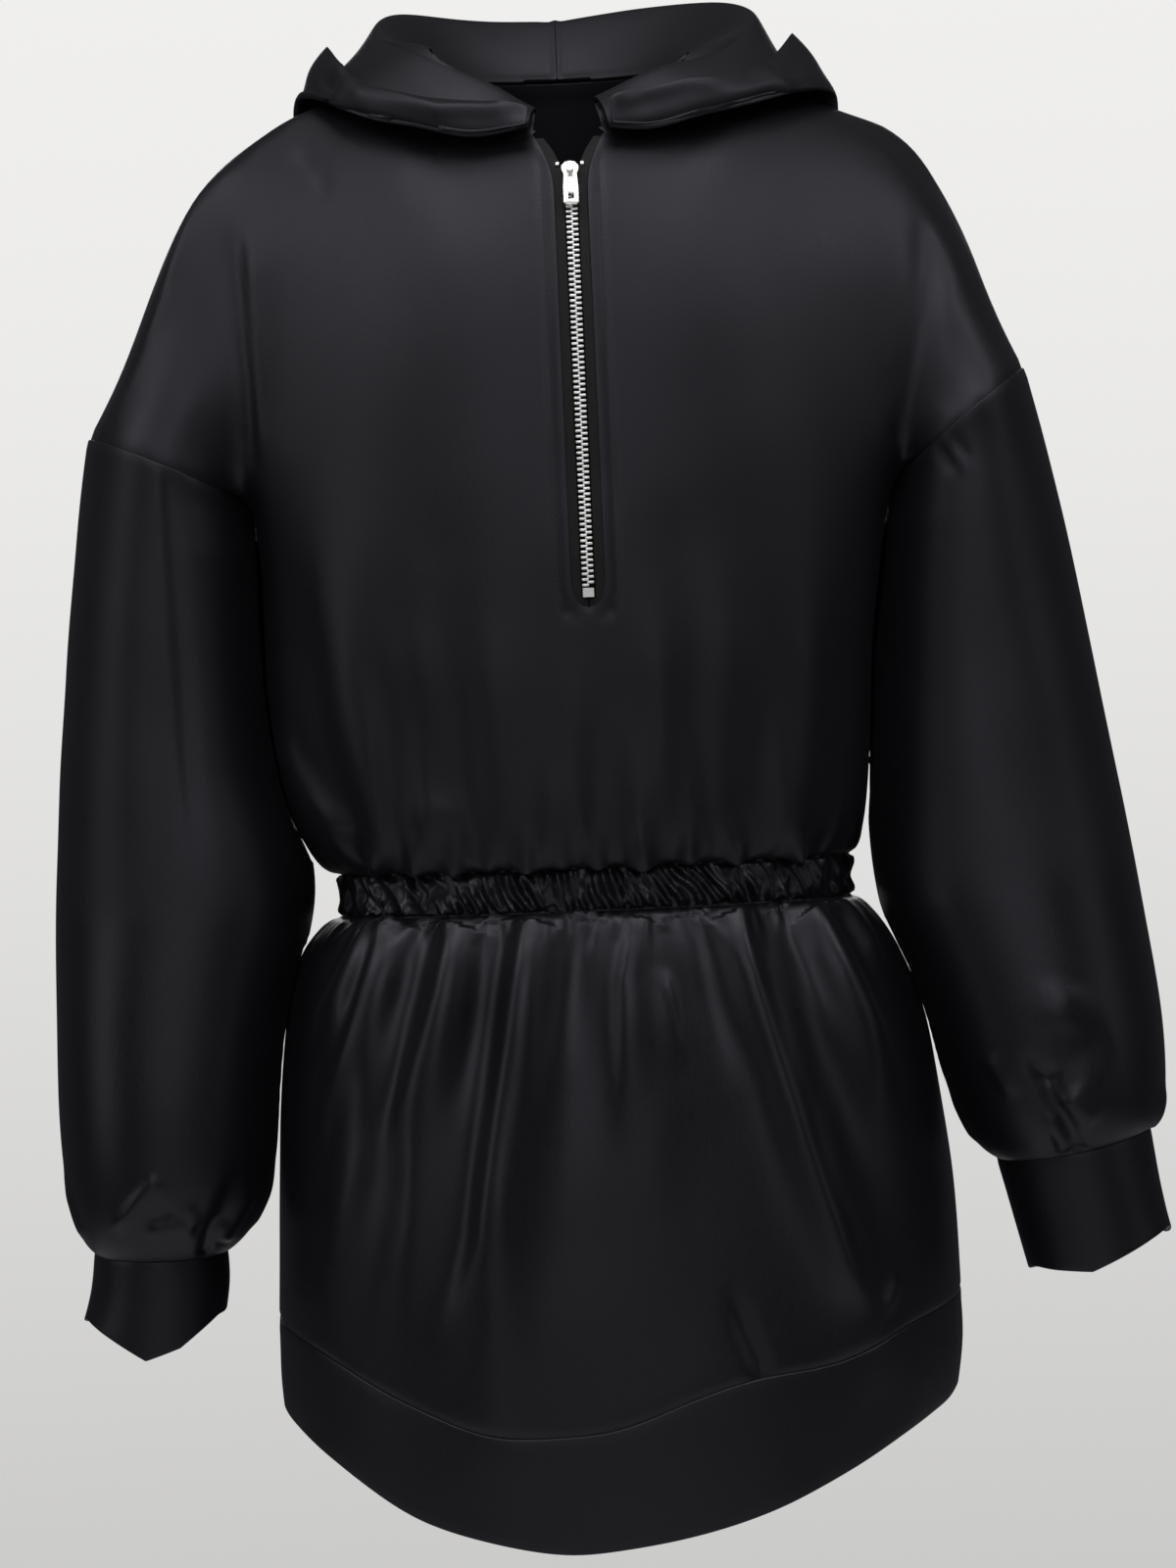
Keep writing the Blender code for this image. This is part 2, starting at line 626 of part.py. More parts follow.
def thicken(sheet, normals, thickness, level_rims=()):
    """Give a sheet its wall: a second layer inside it, joined round the rim."""
    sheet.normal_update()
    directions = {}
    for vertex in sheet.verts:
        direction = normals[key(vertex.co)].normalized()
        if direction.dot(vertex.normal) < FACING_LIMIT:
            direction = vertex.normal.copy()
        if any(abs(vertex.co.z - level) < 0.0002 for level in level_rims):
            direction.z = 0.0
        directions[vertex] = direction.normalized()
    tuck_edges(sheet, SEAM_GAP)
    inner = {key(vertex.co): direction * thinned(vertex.co) for vertex, direction in directions.items()}
    made = bmesh.ops.extrude_face_region(sheet, geom=sheet.faces[:], use_keep_orig=True)
    for item in made["geom"]:
        if isinstance(item, bmesh.types.BMVert):
            item.co -= inner[key(item.co)] * thickness
    bmesh.ops.recalc_face_normals(sheet, faces=sheet.faces)
    if sheet.calc_volume(signed=True) < 0:
        bmesh.ops.reverse_faces(sheet, faces=sheet.faces)


def finish_material(name):
    finish = FINISHES[name]
    material = bpy.data.materials.new(name)
    material.use_nodes = True
    shader = material.node_tree.nodes["Principled BSDF"]
    shader.inputs["Base Color"].default_value = (*finish.color, 1.0)
    shader.inputs["Roughness"].default_value = finish.roughness
    shader.inputs["Metallic"].default_value = finish.metallic
    return material


def add_object(name, sheet, material, collection):
    mesh = bpy.data.meshes.new(name)
    sheet.to_mesh(mesh)
    sheet.free()
    mesh.materials.append(material)
    mesh.shade_smooth()
    piece = bpy.data.objects.new(name, mesh)
    collection.objects.link(piece)
    return piece


def bodice_half(side, face):
    _, last = column_count(face)
    rows = SHOULDER_ROWS + BODY_ROWS
    return grid_sheet(last, rows, lambda column, row: bodice_point(side, face, column, row))


def front_below_zip():
    """The strip of the front between the two slit edges, under the zip."""
    def place(column, row):
        return bodice_point((LEFT, RIGHT)[column], FRONT, 0, SHOULDER_ROWS + SLIT_END_ROW + row)
    return grid_sheet(1, BODY_ROWS - SLIT_END_ROW, place)


def bodice_front():
    return joined([bodice_half(LEFT, FRONT), bodice_half(RIGHT, FRONT), front_below_zip()])


def bodice_back():
    return joined([bodice_half(LEFT, BACK), bodice_half(RIGHT, BACK)])


# Sleeves and cuffs

def ring_turns(side):
    """Angles round an armhole: the front's rows, then the back's rows."""
    seam = SEAM_TURN[side]
    front = [seam + (math.pi - seam) * row / SHOULDER_ROWS for row in range(SHOULDER_ROWS + 1)]
    back = [-seam + (math.pi + seam) * row / SHOULDER_ROWS for row in range(SHOULDER_ROWS + 1)]
    return front + [2 * math.pi - turn for turn in reversed(back[:-1])]


def ring_point(table, side, place, turn):
    row = {name: read(table, place, name) for name in Ring._fields}
    across = (1 - math.cos(turn)) / 2
    x = side * (row["out_x"] + (row["in_x"] - row["out_x"]) * across)
    z = row["out_z"] + (row["in_z"] - row["out_z"]) * across
    forward = math.sin(turn)
    if forward > 0:
        z += row["dip"] * forward
    return Vector((x, row["mid_y"] - row["half_depth"] * forward, z))


def tube(table, side, rows):
    turns = ring_turns(side)

    def place(column, row):
        turn = turns[column] if column < len(turns) - 1 else turns[0]
        return ring_point(table, side, table[-1].place * row / rows, turn)
    return joined([grid_sheet(len(turns) - 1, rows, place)])


def sleeve(side):
    return tube(SLEEVES[side], side, SLEEVE_ROWS)


def cuff(side):
    return tube(CUFFS[side], side, CUFF_ROWS)


# Waist casing, skirt and hem band

def level_ring(table, turn, z):
    """A point of a level section at an angle from the front, positive to the right."""
    sine, cosine = math.sin(turn), math.cos(turn)
    width = half_width(table, sine, z)
    depth = read(table, z, "front" if cosine > 0 else "back")
    power = 2 / SQUARENESS
    x = math.copysign(width * abs(sine) ** power, sine)
    y = -math.copysign(depth * abs(cosine) ** power, cosine)
    return Vector((x, y, z))


def casing():
    def place(column, row):
        turn = 2 * math.pi * column / CASING_COLUMNS
        share = row / CASING_ROWS
        z = WAIST_TOP_Z + (WAIST_LOW_Z - WAIST_TOP_Z) * share
        point = level_ring(SKIRT, turn, WAIST_LOW_Z)
        point.z = z
        crest = math.sin(math.pi * share)
        wander = 0.55 * math.sin(3 * turn) + 0.35 * math.sin(7 * turn + 1.1)
        phase = CASING_PUCKERS * turn + PUCKER_SLANT * share + wander
        size = 0.72 + 0.28 * math.sin(5 * turn + 0.7)
        height = crest * (CASING_BULGE + PUCKER_HEIGHT * size * 0.5 * math.sin(phase))
        return push_out(point, SKIRT, WAIST_LOW_Z, height)
    return joined([grid_sheet(CASING_COLUMNS, CASING_ROWS, place)])


def hem_levels(turn):
    """Heights of the hem seam and the hem's edge at an angle round the skirt."""
    share = math.copysign(abs(math.sin(turn)) ** (2 / SQUARENESS), math.sin(turn))
    if math.cos(turn) >= -1e-9:
        return read(FRONT_HEM, share, "seam_z"), read(FRONT_HEM, share, "edge_z")
    side = FRONT_HEM[0] if share < 0 else FRONT_HEM[-1]
    rise = 1 - share * share
    return side.seam_z - BACK_SEAM_DROP * rise, side.edge_z - BACK_EDGE_DROP * rise


def skirt_point(turn, z, folds):
    point = level_ring(SKIRT, turn, z)
    fade = ease((WAIST_LOW_Z - z) / 0.010)
    return push_out(point, SKIRT, z, fold_height(folds, point.x, z) * fade)


def skirt_turn(face, column):
    """Angles across the front or the back, from the right side to the left."""
    if face == FRONT:
        return -math.pi / 2 + math.pi * column / SKIRT_FRONT_COLUMNS
    return math.pi / 2 + math.pi * column / SKIRT_BACK_COLUMNS


def skirt(face):
    folds = SKIRT_FOLDS if face == FRONT else BACK_SKIRT_FOLDS

    def place(column, row):
        turn = skirt_turn(face, column)
        seam_z, _ = hem_levels(turn)
        share = (row / SKIRT_ROWS) ** 1.25
        return skirt_point(turn, WAIST_LOW_Z + (seam_z - WAIST_LOW_Z) * share, folds)
    columns = SKIRT_FRONT_COLUMNS if face == FRONT else SKIRT_BACK_COLUMNS
    return grid_sheet(columns, SKIRT_ROWS, place)


def hem_band(face):
    folds = SKIRT_FOLDS if face == FRONT else BACK_SKIRT_FOLDS

    def place(column, row):
        turn = skirt_turn(face, column)
        seam_z, edge_z = hem_levels(turn)
        share = row / HEM_ROWS
        return skirt_point(turn, seam_z + (edge_z - seam_z) * share, folds)
    columns = SKIRT_FRONT_COLUMNS if face == FRONT else SKIRT_BACK_COLUMNS
    return grid_sheet(columns, HEM_ROWS, place)


# Hood

def hood_neck(side, column):
    """The hood's neck seam: the bodice's front neckline, then its back one."""
    if column <= FRONT_NECK_COLUMNS:
        return neck_line(side, FRONT, column / FRONT_NECK_COLUMNS)
    share = (column - FRONT_NECK_COLUMNS) / BACK_NECK_COLUMNS
    return neck_line(side, BACK, 1 - share)


def hood_section(side, column):
    """Points down one section of the hood, from its neck seam to its opening."""
    neck = hood_neck(side, column)
    last = column == FRONT_NECK_COLUMNS + BACK_NECK_COLUMNS
    turn = 180.0 if last else math.degrees(math.atan2(side * neck.x, -neck.y))
    angle = math.radians(turn)
    out = Vector((side * math.sin(angle), -math.cos(angle), 0.0))

    def spot(radius, height):
        return out * read(HOODS[side], turn, radius) + Vector((0.0, 0.0, read(HOODS[side], turn, height)))
    lean, pouch, edge = spot("lean_r", "lean_z"), spot("pouch_r", "pouch_z"), spot("edge_r", "edge_z")
    bulge = out * (HOOD_BULGE * ease((turn - 20) / 60) + NAPE_BULGE * ease((turn - 95) / 50))
    fold = out * HOOD_FOLD
    inner = lean.lerp(pouch, 0.5) + fold * 0.4 - bulge / 2
    outer = pouch.lerp(edge, 0.55) + fold * 0.6 + bulge
    return [neck, lean - fold * 0.6, lean + fold * 0.6, inner, pouch - fold, pouch + fold, outer, edge]


def lift_off(tree, point):
    """The move that keeps a point of the hood clear of the bodice under it."""
    near, normal, _, _ = tree.find_nearest(point)
    return normal * max(HOOD_REST - (point - near).dot(normal), 0.0)


def settled(tree, section):
    """A section of the hood whose pouch lies on the bodice, not in it."""
    lift = max((lift_off(tree, section[4]), lift_off(tree, section[5])), key=lambda move: move.length)
    shares = (0.0, 0.0, 0.0, 0.5, 1.0, 1.0, 1.0, 1.0)
    return [point + lift * share for point, share in zip(section, shares)]


def hood_half(side, tree):
    columns = FRONT_NECK_COLUMNS + BACK_NECK_COLUMNS
    sections = [settled(tree, hood_section(side, column)) for column in range(columns + 1)]

    def place(column, row):
        return spline(sections[column], row / HOOD_ROWS)
    half = grid_sheet(columns, HOOD_ROWS, place)
    nape = Vector((0.0, NECK_BACK_Y, NECK_BACK_Z))
    first = min(half.faces, key=lambda face: (face.calc_center_median() - nape).length)
    half.normal_update()
    if first.normal.y < 0:
        bmesh.ops.reverse_faces(half, faces=half.faces)
    return half


# Zip

def front_surface(tree, x, z, inset):
    """A point level with the front panel by the zip, moved inward by inset."""
    side = LEFT if x < ZIP_X else RIGHT
    out = max(abs(x - ZIP_X), SLIT_HALF + slit_offset(z) + SLIT_REACH)
    start = Vector((ZIP_X + side * out, -1.0, min(z, SLIT_READ_TOP_Z)))
    hit, normal, _, _ = tree.ray_cast(start, Vector((0.0, 1.0, 0.0)))
    rise = z - start.z
    surface = Vector((x, hit.y - rise * normal.z / normal.y, z))
    return surface - Vector((0.0, normal.y, normal.z)).normalized() * inset


def tape(tree, side):
    top, low = FLARE_END_Z - 0.0025, STOP_END_Z - TAPE_GAP
    tail = [(low - 0.0006, TAPE_GAP / 2), (SLIT_END_Z - TAPE_UNDERLAP, TAPE_GAP / 2)]
    chain_rows = TAPE_ROWS - len(tail)

    def place(column, row):
        z = top + (low - top) * (row / chain_rows) ** 1.3 if row <= chain_rows else 0.0
        near = CHAIN_HALF + TAPE_GAP
        if row > chain_rows:
            z, near = tail[row - chain_rows - 1]
        x = near + (TAPE_HALF - near) * column / 2 + slit_offset(z)
        return front_surface(tree, ZIP_X + side * x, z, CLOTH + TAPE_UNDER)
    return grid_sheet(2, TAPE_ROWS, place)


def strip(tree, top, low, rows, half, inset, across=0.0):
    def place(column, row):
        z = top + (low - top) * row / rows
        return front_surface(tree, ZIP_X + across + half * (2 * column - 1), z, inset)
    return grid_sheet(1, rows, place)


def own_normals(sheet):
    sheet.normal_update()
    normals = {}
    for face in sheet.faces:
        for vertex in face.verts:
            place = key(vertex.co)
            normals[place] = normals.get(place, Vector()) + face.normal
    return normals


def slider_frame(tree):
    """The slider's place and its outward direction on the chain."""
    middle_z = SLIDER_TOP_Z - SLIDER_LENGTH / 2
    seat = front_surface(tree, ZIP_X, middle_z, CHAIN_INSET - SLIDER_GAP)
    below = front_surface(tree, ZIP_X, middle_z - SLIDER_LENGTH / 2, CHAIN_INSET - SLIDER_GAP)
    down = (below - seat).normalized()
    out = Vector((1.0, 0.0, 0.0)).cross(down)
    if out.y > 0:
        out = -out
    return seat, down, out


def plate_outline():
    """The slider's plate: broad at its shoulders, narrower at its tail."""
    half = SLIDER_LENGTH / 2
    return [
        (-SLIDER_SHOULDER * 0.55, -half), (SLIDER_SHOULDER * 0.55, -half),
        (SLIDER_SHOULDER, -half * 0.45), (SLIDER_SHOULDER, 0.0),
        (SLIDER_WAIST, half * 0.6), (SLIDER_WAIST, half),
        (-SLIDER_WAIST, half), (-SLIDER_WAIST, half * 0.6),
        (-SLIDER_SHOULDER, 0.0), (-SLIDER_SHOULDER, -half * 0.45),
    ]


def place_in(frame, across, along, rise):
    seat, down, out = frame
    return seat + Vector((1.0, 0.0, 0.0)) * across + down * along + out * rise


def prism(outline, frame, low, high):
    """A flat outline in the slider's frame, raised from low to high."""
    solid = bmesh.new()
    ring = [solid.verts.new(place_in(frame, x, y, low)) for x, y in outline]
    solid.faces.new(ring)
    made = bmesh.ops.extrude_face_region(solid, geom=solid.faces[:], use_keep_orig=True)
    for item in made["geom"]:
        if isinstance(item, bmesh.types.BMVert):
            item.co += frame[2] * (high - low)
    bmesh.ops.recalc_face_normals(solid, faces=solid.faces)
    return solid


def as_object(name, solid, collection, material=None, origin=(0.0, 0.0, 0.0)):
    mesh = bpy.data.meshes.new(name)
    solid.to_mesh(mesh)
    solid.free()
    if material:
        mesh.materials.append(material)
    piece = bpy.data.objects.new(name, mesh)
    piece.location = origin
    collection.objects.link(piece)
    return piece


def add_cut(piece, cutter, operation):
    boolean = piece.modifiers.new(operation.lower(), "BOOLEAN")
    boolean.operation = operation
    boolean.object = cutter
    cutter.hide_render = True
    cutter.display_type = "WIRE"


def box_in(frame, size, middle):
    """A box in the slider's frame: size and middle are across, along, out."""
    width, length, height = (value / 2 for value in size)
    x, y, z = middle
    outline = [(x - width, y - length), (x + width, y - length), (x + width, y + length), (x - width, y + length)]
    return prism(outline, frame, z - height, z + height)


def make_slider(tree, collection, cutters, material):
    """A plate with a low bridge, whose window holds the pull tab's eye."""
    frame = slider_frame(tree)
    body = as_object("zip_slider", prism(plate_outline(), frame, 0.0, SLIDER_PLATE), collection, material)
    top = SLIDER_PLATE + BRIDGE_HEIGHT
    bridge = box_in(frame, (BRIDGE_WIDTH, SLIDER_LENGTH * 0.62, top - 0.0004), (0.0, 0.0, top / 2 + 0.0002))
    add_cut(body, as_object("slider_bridge", bridge, cutters), "UNION")
    gap = BRIDGE_HEIGHT - BRIDGE_WIRE
    window = (BRIDGE_WIDTH * 2, SLIDER_LENGTH * 0.62 - 2 * BRIDGE_WIRE, gap)
    hole = box_in(frame, window, (0.0, 0.0, SLIDER_PLATE + gap / 2))
    add_cut(body, as_object("slider_window", hole, cutters), "DIFFERENCE")
    return frame


def make_pull_tab(slider, collection, cutters, material):
    """A flat tab with an eye round the bridge, a window, and its origin on its hinge."""
    along = SLIDER_LENGTH * 0.31 - BRIDGE_WIRE - TAB_THICKNESS
    hinge = place_in(slider, 0.0, along, SLIDER_PLATE + (BRIDGE_HEIGHT - BRIDGE_WIRE) / 2)
    frame = (Vector(), slider[1], slider[2])
    half, neck, low = TAB_WIDTH / 2, TAB_WIDTH * 0.4, TAB_LENGTH - TAB_CORNER
    outline = [
        (-neck, -TAB_THICKNESS / 2), (neck, -TAB_THICKNESS / 2), (half, TAB_LENGTH * 0.55), (half, low),
        (half - TAB_CORNER, TAB_LENGTH), (TAB_CORNER - half, TAB_LENGTH), (-half, low),
        (-half, TAB_LENGTH * 0.55),
    ]
    solid = prism(outline, frame, -TAB_THICKNESS / 2, TAB_THICKNESS / 2)
    tab = as_object("zip_pull_tab", solid, collection, material, hinge)
    holes = {
        "tab_eye": (TAB_EYE, TAB_EYE_LENGTH, TAB_THICKNESS * 0.6 + TAB_EYE_LENGTH / 2),
        "tab_window": (TAB_WINDOW, TAB_WINDOW_LENGTH, TAB_LENGTH - TAB_WINDOW_RISE),
    }
    for name, (width, length, middle) in holes.items():
        hole = box_in(frame, (width, length, TAB_THICKNESS * 3), (0.0, middle, 0.0))
        add_cut(tab, as_object(name, hole, cutters, origin=hinge), "DIFFERENCE")


def main():
    clear_scene()
    collection = bpy.data.collections.new("Hooded_half_zip_dress")
    cutters = bpy.data.collections.new("Cutters")
    for group in (collection, cutters):
        bpy.context.scene.collection.children.link(group)
    materials = {name: finish_material(name) for name in FINISHES}

    sheets = {
        "bodice_front": (face_outward(bodice_front(), ahead), CLOTH, "knit"),
        "bodice_back": (face_outward(bodice_back(), behind), CLOTH, "knit"),
        "waist_casing": (face_outward(casing(), from_middle), CLOTH, "casing_knit"),
        "skirt_front": (face_outward(skirt(FRONT), from_middle), CLOTH, "knit"),
        "skirt_back": (face_outward(skirt(BACK), from_middle), CLOTH, "knit"),
        "hem_band_front": (face_outward(hem_band(FRONT), from_middle), DOUBLE_CLOTH, "knit_hem"),
        "hem_band_back": (face_outward(hem_band(BACK), from_middle), DOUBLE_CLOTH, "knit_hem"),
    }
    body = joined([sheets["bodice_front"][0].copy(), sheets["bodice_back"][0].copy()])
    body_tree = BVHTree.FromBMesh(face_outward(body, from_middle))
    for side, name in ((LEFT, "left"), (RIGHT, "right")):
        sheets["sleeve_" + name] = (face_outward(sleeve(side), from_arm), CLOTH, "knit")
        sheets["cuff_" + name] = (face_outward(cuff(side), from_arm), DOUBLE_CLOTH, "knit_hem")
        sheets["hood_" + name] = (hood_half(side, body_tree), CLOTH, "knit")
    rims = (WAIST_TOP_Z, WAIST_LOW_Z)
    normals = shared_normals([sheet for sheet, _, _ in sheets.values()])
    for name, (sheet, thickness, finish) in sheets.items():
        thicken(sheet, normals, thickness, rims)
        add_object(name, sheet, materials[finish], collection)

    chain = strip(body_tree, CHAIN_TOP_Z, CHAIN_END_Z, CHAIN_ROWS, CHAIN_HALF, CHAIN_INSET)
    stop_top = CHAIN_END_Z - TAPE_GAP
    stop = strip(body_tree, stop_top, STOP_END_Z, 1, CHAIN_HALF, CHAIN_INSET)
    trims = {
        "zip_tape_left": (tape(body_tree, LEFT), TAPE_THICKNESS, "tape"),
        "zip_tape_right": (tape(body_tree, RIGHT), TAPE_THICKNESS, "tape"),
        "zip_chain": (chain, CHAIN_DEPTH, "zip_metal"),
        "zip_bottom_stop": (stop, CHAIN_DEPTH, "zip_metal"),
    }
    for side, name in ((LEFT, "left"), (RIGHT, "right")):
        top_stop = strip(body_tree, TOP_STOP_Z, TOP_STOP_Z - TOP_STOP_LENGTH, 1, TOP_STOP_HALF, TOP_STOP_INSET,
                         side * TOP_STOP_X)
        trims["zip_top_stop_" + name] = (top_stop, TOP_STOP_DEPTH, "zip_metal")
    for name, (sheet, thickness, finish) in trims.items():
        face_outward(sheet, ahead)
        thicken(sheet, own_normals(sheet), thickness)
        add_object(name, sheet, materials[finish], collection)

    frame = make_slider(body_tree, collection, cutters, materials["zip_metal"])
    make_pull_tab(frame, collection, cutters, materials["zip_metal"])


main()
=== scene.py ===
# %% [markdown]
# A hooded sweatshirt dress with a half zip, in heavy black double knit.
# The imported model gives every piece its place, so each cloth piece starts from its own CAD solid.
# The steps follow the sewing: panels, bands, zip, then stitches, and light and camera last.

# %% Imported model
import json
import math
import random

import bmesh
import bpy
import numpy as np
from mathutils import Matrix, Vector, noise
from mathutils.bvhtree import BVHTree
from mathutils.kdtree import KDTree

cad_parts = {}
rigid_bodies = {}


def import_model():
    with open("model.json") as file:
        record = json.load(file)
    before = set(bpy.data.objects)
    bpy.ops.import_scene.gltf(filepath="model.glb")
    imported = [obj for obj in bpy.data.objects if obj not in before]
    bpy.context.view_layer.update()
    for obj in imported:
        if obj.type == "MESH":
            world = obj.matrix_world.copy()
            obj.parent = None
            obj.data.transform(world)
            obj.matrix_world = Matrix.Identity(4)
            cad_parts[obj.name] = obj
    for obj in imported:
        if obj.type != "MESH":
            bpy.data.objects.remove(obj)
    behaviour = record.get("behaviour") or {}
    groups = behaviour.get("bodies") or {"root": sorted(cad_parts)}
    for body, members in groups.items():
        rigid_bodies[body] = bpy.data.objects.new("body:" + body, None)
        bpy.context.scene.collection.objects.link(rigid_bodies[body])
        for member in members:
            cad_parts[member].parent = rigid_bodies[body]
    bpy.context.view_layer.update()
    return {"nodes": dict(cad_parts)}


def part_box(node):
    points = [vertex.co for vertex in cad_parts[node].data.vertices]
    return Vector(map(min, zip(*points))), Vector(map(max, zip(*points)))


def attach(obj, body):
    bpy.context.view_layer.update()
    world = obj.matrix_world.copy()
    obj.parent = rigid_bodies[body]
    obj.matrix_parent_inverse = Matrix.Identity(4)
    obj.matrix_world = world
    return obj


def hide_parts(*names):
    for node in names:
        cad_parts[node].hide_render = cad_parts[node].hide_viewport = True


for item in list(bpy.data.objects):
    bpy.data.objects.remove(item)
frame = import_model()
MM = 0.001


# %% [markdown]
# Shaders are easier to read as sums. A small socket class turns +, - and * into Math nodes,
# and one method makes every other node, with its settings first and its inputs after them.

# %% Shader sums
class Socket:
    """One output in a shader graph that can be added, subtracted, multiplied and clamped."""

    def __init__(self, graph, output):
        self.graph, self.output = graph, output

    def math(self, operation, *others):
        values = dict(enumerate((self, *others)))
        return self.graph.node("ShaderNodeMath", {"operation": operation}, values)

    def __add__(self, other):
        return self.math("ADD", other)

    def __sub__(self, other):
        return self.math("SUBTRACT", other)

    def __mul__(self, other):
        return self.math("MULTIPLY", other)

    def clamped(self):
        return self.math("MINIMUM", 1.0).math("MAXIMUM", 0.0)


print("Socket class ready")


# %% [markdown]
# A graph is the node tree of one new material. Its textures lie on the object's own coordinates,
# in metres, so a grain keeps its real size on every piece.

# %% Material graph
class Graph:
    """The node tree of one new material."""

    def __init__(self, name):
        self.material = bpy.data.materials.new(name)
        self.material.use_nodes = True
        self.tree = self.material.node_tree
        self.shader = self.tree.nodes["Principled BSDF"]

    def node(self, kind, settings=None, values=None, output=0):
        made = self.tree.nodes.new(kind)
        for setting, value in (settings or {}).items():
            setattr(made, setting, value)
        for key, value in (values or {}).items():
            self.join(value, made.inputs[key])
        return Socket(self, made.outputs[output])

    def join(self, value, target):
        if isinstance(value, Socket):
            self.tree.links.new(value.output, target)
        else:
            target.default_value = value

    def place(self, scale=(1.0, 1.0, 1.0)):
        """The point on the object, in metres, stretched by scale."""
        point = self.node("ShaderNodeTexCoord", output="Object")
        return self.node("ShaderNodeMapping", values={"Vector": point, "Scale": scale})

    def grain(self, scale, detail=2.0, stretch=(1.0, 1.0, 1.0)):
        values = {"Vector": self.place(stretch), "Scale": scale, "Detail": detail}
        return self.node("ShaderNodeTexNoise", values=values)

    def mix(self, share, first, second):
        """A colour between two colours."""
        values = {"Factor": share, "A": first, "B": second}
        return self.node("ShaderNodeMix", {"data_type": "RGBA"}, values, "Result")

    def bump(self, height, distance, strength=1.0):
        values = {"Height": height, "Distance": distance, "Strength": strength}
        return self.node("ShaderNodeBump", values=values)

    def finish(self, **values):
        for name, value in values.items():
            self.join(value, self.shader.inputs[name.replace("_", " ")])
        return self.material


print("Material graph ready")

# %% [markdown]
# The cloth is a black double knit, smooth outside with a satin sheen. Fine upright wales,
# far narrower than a millimetre, break up the highlight. Bands and casing are the same cloth.
# Below the waist the panels hang taut and smooth, so there the satin shows more.

# %% Cloth materials
BLACK = (0.0015, 0.0015, 0.0021, 1.0)
BLACK_LIT = (0.0048, 0.0047, 0.0062, 1.0)
COOL_SHEEN, COOL_SHINE = (0.80, 0.82, 1.0, 1.0), (0.86, 0.86, 1.0, 1.0)
CLOUDS, WALES, SPECKS = 14.0, 900.0, 2600.0
SKIRT_TOP_Z, SKIRT_SATIN = -0.42, 0.09


def knit(name, sheen, roughness):
    graph = Graph(name)
    cloudy = graph.grain(CLOUDS, 3.0)
    fine = graph.grain(WALES, 1.0, (1.0, 1.0, 0.35))
    speckle = graph.grain(SPECKS, 0.0)
    height = graph.node("ShaderNodeSeparateXYZ", values={"Vector": graph.place()}, output="Z")
    skirt = ((height * -1.0 + SKIRT_TOP_Z) * 60.0).clamped()
    rough = (cloudy - 0.5) * 0.08 + (fine - 0.5) * 0.12 + roughness - skirt * SKIRT_SATIN
    return graph.finish(
        Base_Color=graph.mix((fine * 0.6 + speckle * 0.4).clamped(), BLACK, BLACK_LIT),
        Roughness=rough,
        Sheen_Weight=sheen, Sheen_Roughness=0.5, Sheen_Tint=COOL_SHEEN,
        Specular_IOR_Level=0.45, Specular_Tint=COOL_SHINE,
        Normal=graph.bump(fine * 0.7 + speckle * 0.3, 0.00012, 0.7),
    )


CLOTH_LOOK = {
    "knit": knit("black_knit", 0.014, 0.49),
    "knit_hem": knit("black_knit_band", 0.010, 0.53),
    "casing_knit": knit("black_knit_casing", 0.022, 0.37),
}
print("Cloth materials:", len(CLOTH_LOOK))

# %% [markdown]
# The zip has dark woven tape, and teeth, slider and stops in bright metal.
# Thread is a matt black, a little lighter than the cloth where it catches light.

# %% Zip and thread materials
def tape_look():
    graph = Graph("zip_tape_weave")
    rib = graph.grain(1500.0, 1.0, (1.0, 1.0, 0.5))
    return graph.finish(
        Base_Color=graph.mix(rib, (0.003, 0.003, 0.004, 1.0), (0.012, 0.012, 0.014, 1.0)),
        Roughness=0.85, Normal=graph.bump(rib, 0.0002, 0.8),
    )


def metal_look(name, colour, roughness):
    graph = Graph(name)
    worn = graph.grain(420.0, 2.0)
    return graph.finish(Base_Color=colour, Metallic=0.55, Roughness=(worn - 0.5) * 0.2 + roughness)


TAPE = tape_look()
METAL = metal_look("zip_metal_bright", (0.96, 0.95, 0.93, 1.0), 0.28)
THREAD = Graph("black_thread").finish(Base_Color=(0.004, 0.004, 0.005, 1.0), Roughness=0.6)
print("Zip and thread materials ready")


# %% [markdown]
# A CAD cloth piece is a closed wall with an outside, an inside and a rim between them.
# Only its outside is kept here, as squares, so that it can be refined like a flat panel.
# A wall edge crosses the thickness, so it runs along the normal of the faces around it.

# %% The outside of a CAD piece
CLOTH, BAND = 1.8 * MM, 3.0 * MM
WELD = 0.01 * MM
BANDS = ("cuff_left", "cuff_right", "hem_band_front", "hem_band_back")


def crosses_wall(edge, wall):
    """Whether an edge runs through a wall's thickness."""
    if edge.calc_length() > wall * 1.2:
        return False
    along = (edge.verts[1].co - edge.verts[0].co).normalized()
    around = [face for end in edge.verts for face in end.link_faces if edge not in face.edges]
    return any(abs(face.normal.dot(along)) > 0.5 for face in around)


def islands(bm):
    """The groups of faces that hang together."""
    left, groups = set(bm.faces), []
    while left:
        group, front = set(), [left.pop()]
        while front:
            face = front.pop()
            group.add(face)
            for edge in face.edges:
                for other in edge.link_faces:
                    if other in left:
                        left.remove(other)
                        front.append(other)
        groups.append(group)
    return groups


def outwardness(group):
    """More for a group whose faces look away from its middle."""
    area = sum(face.calc_area() for face in group)
    middle = sum((face.calc_center_median() * face.calc_area() for face in group), Vector()) / area
    return sum((face.calc_center_median() - middle).dot(face.normal) * face.calc_area()
               for face in group)


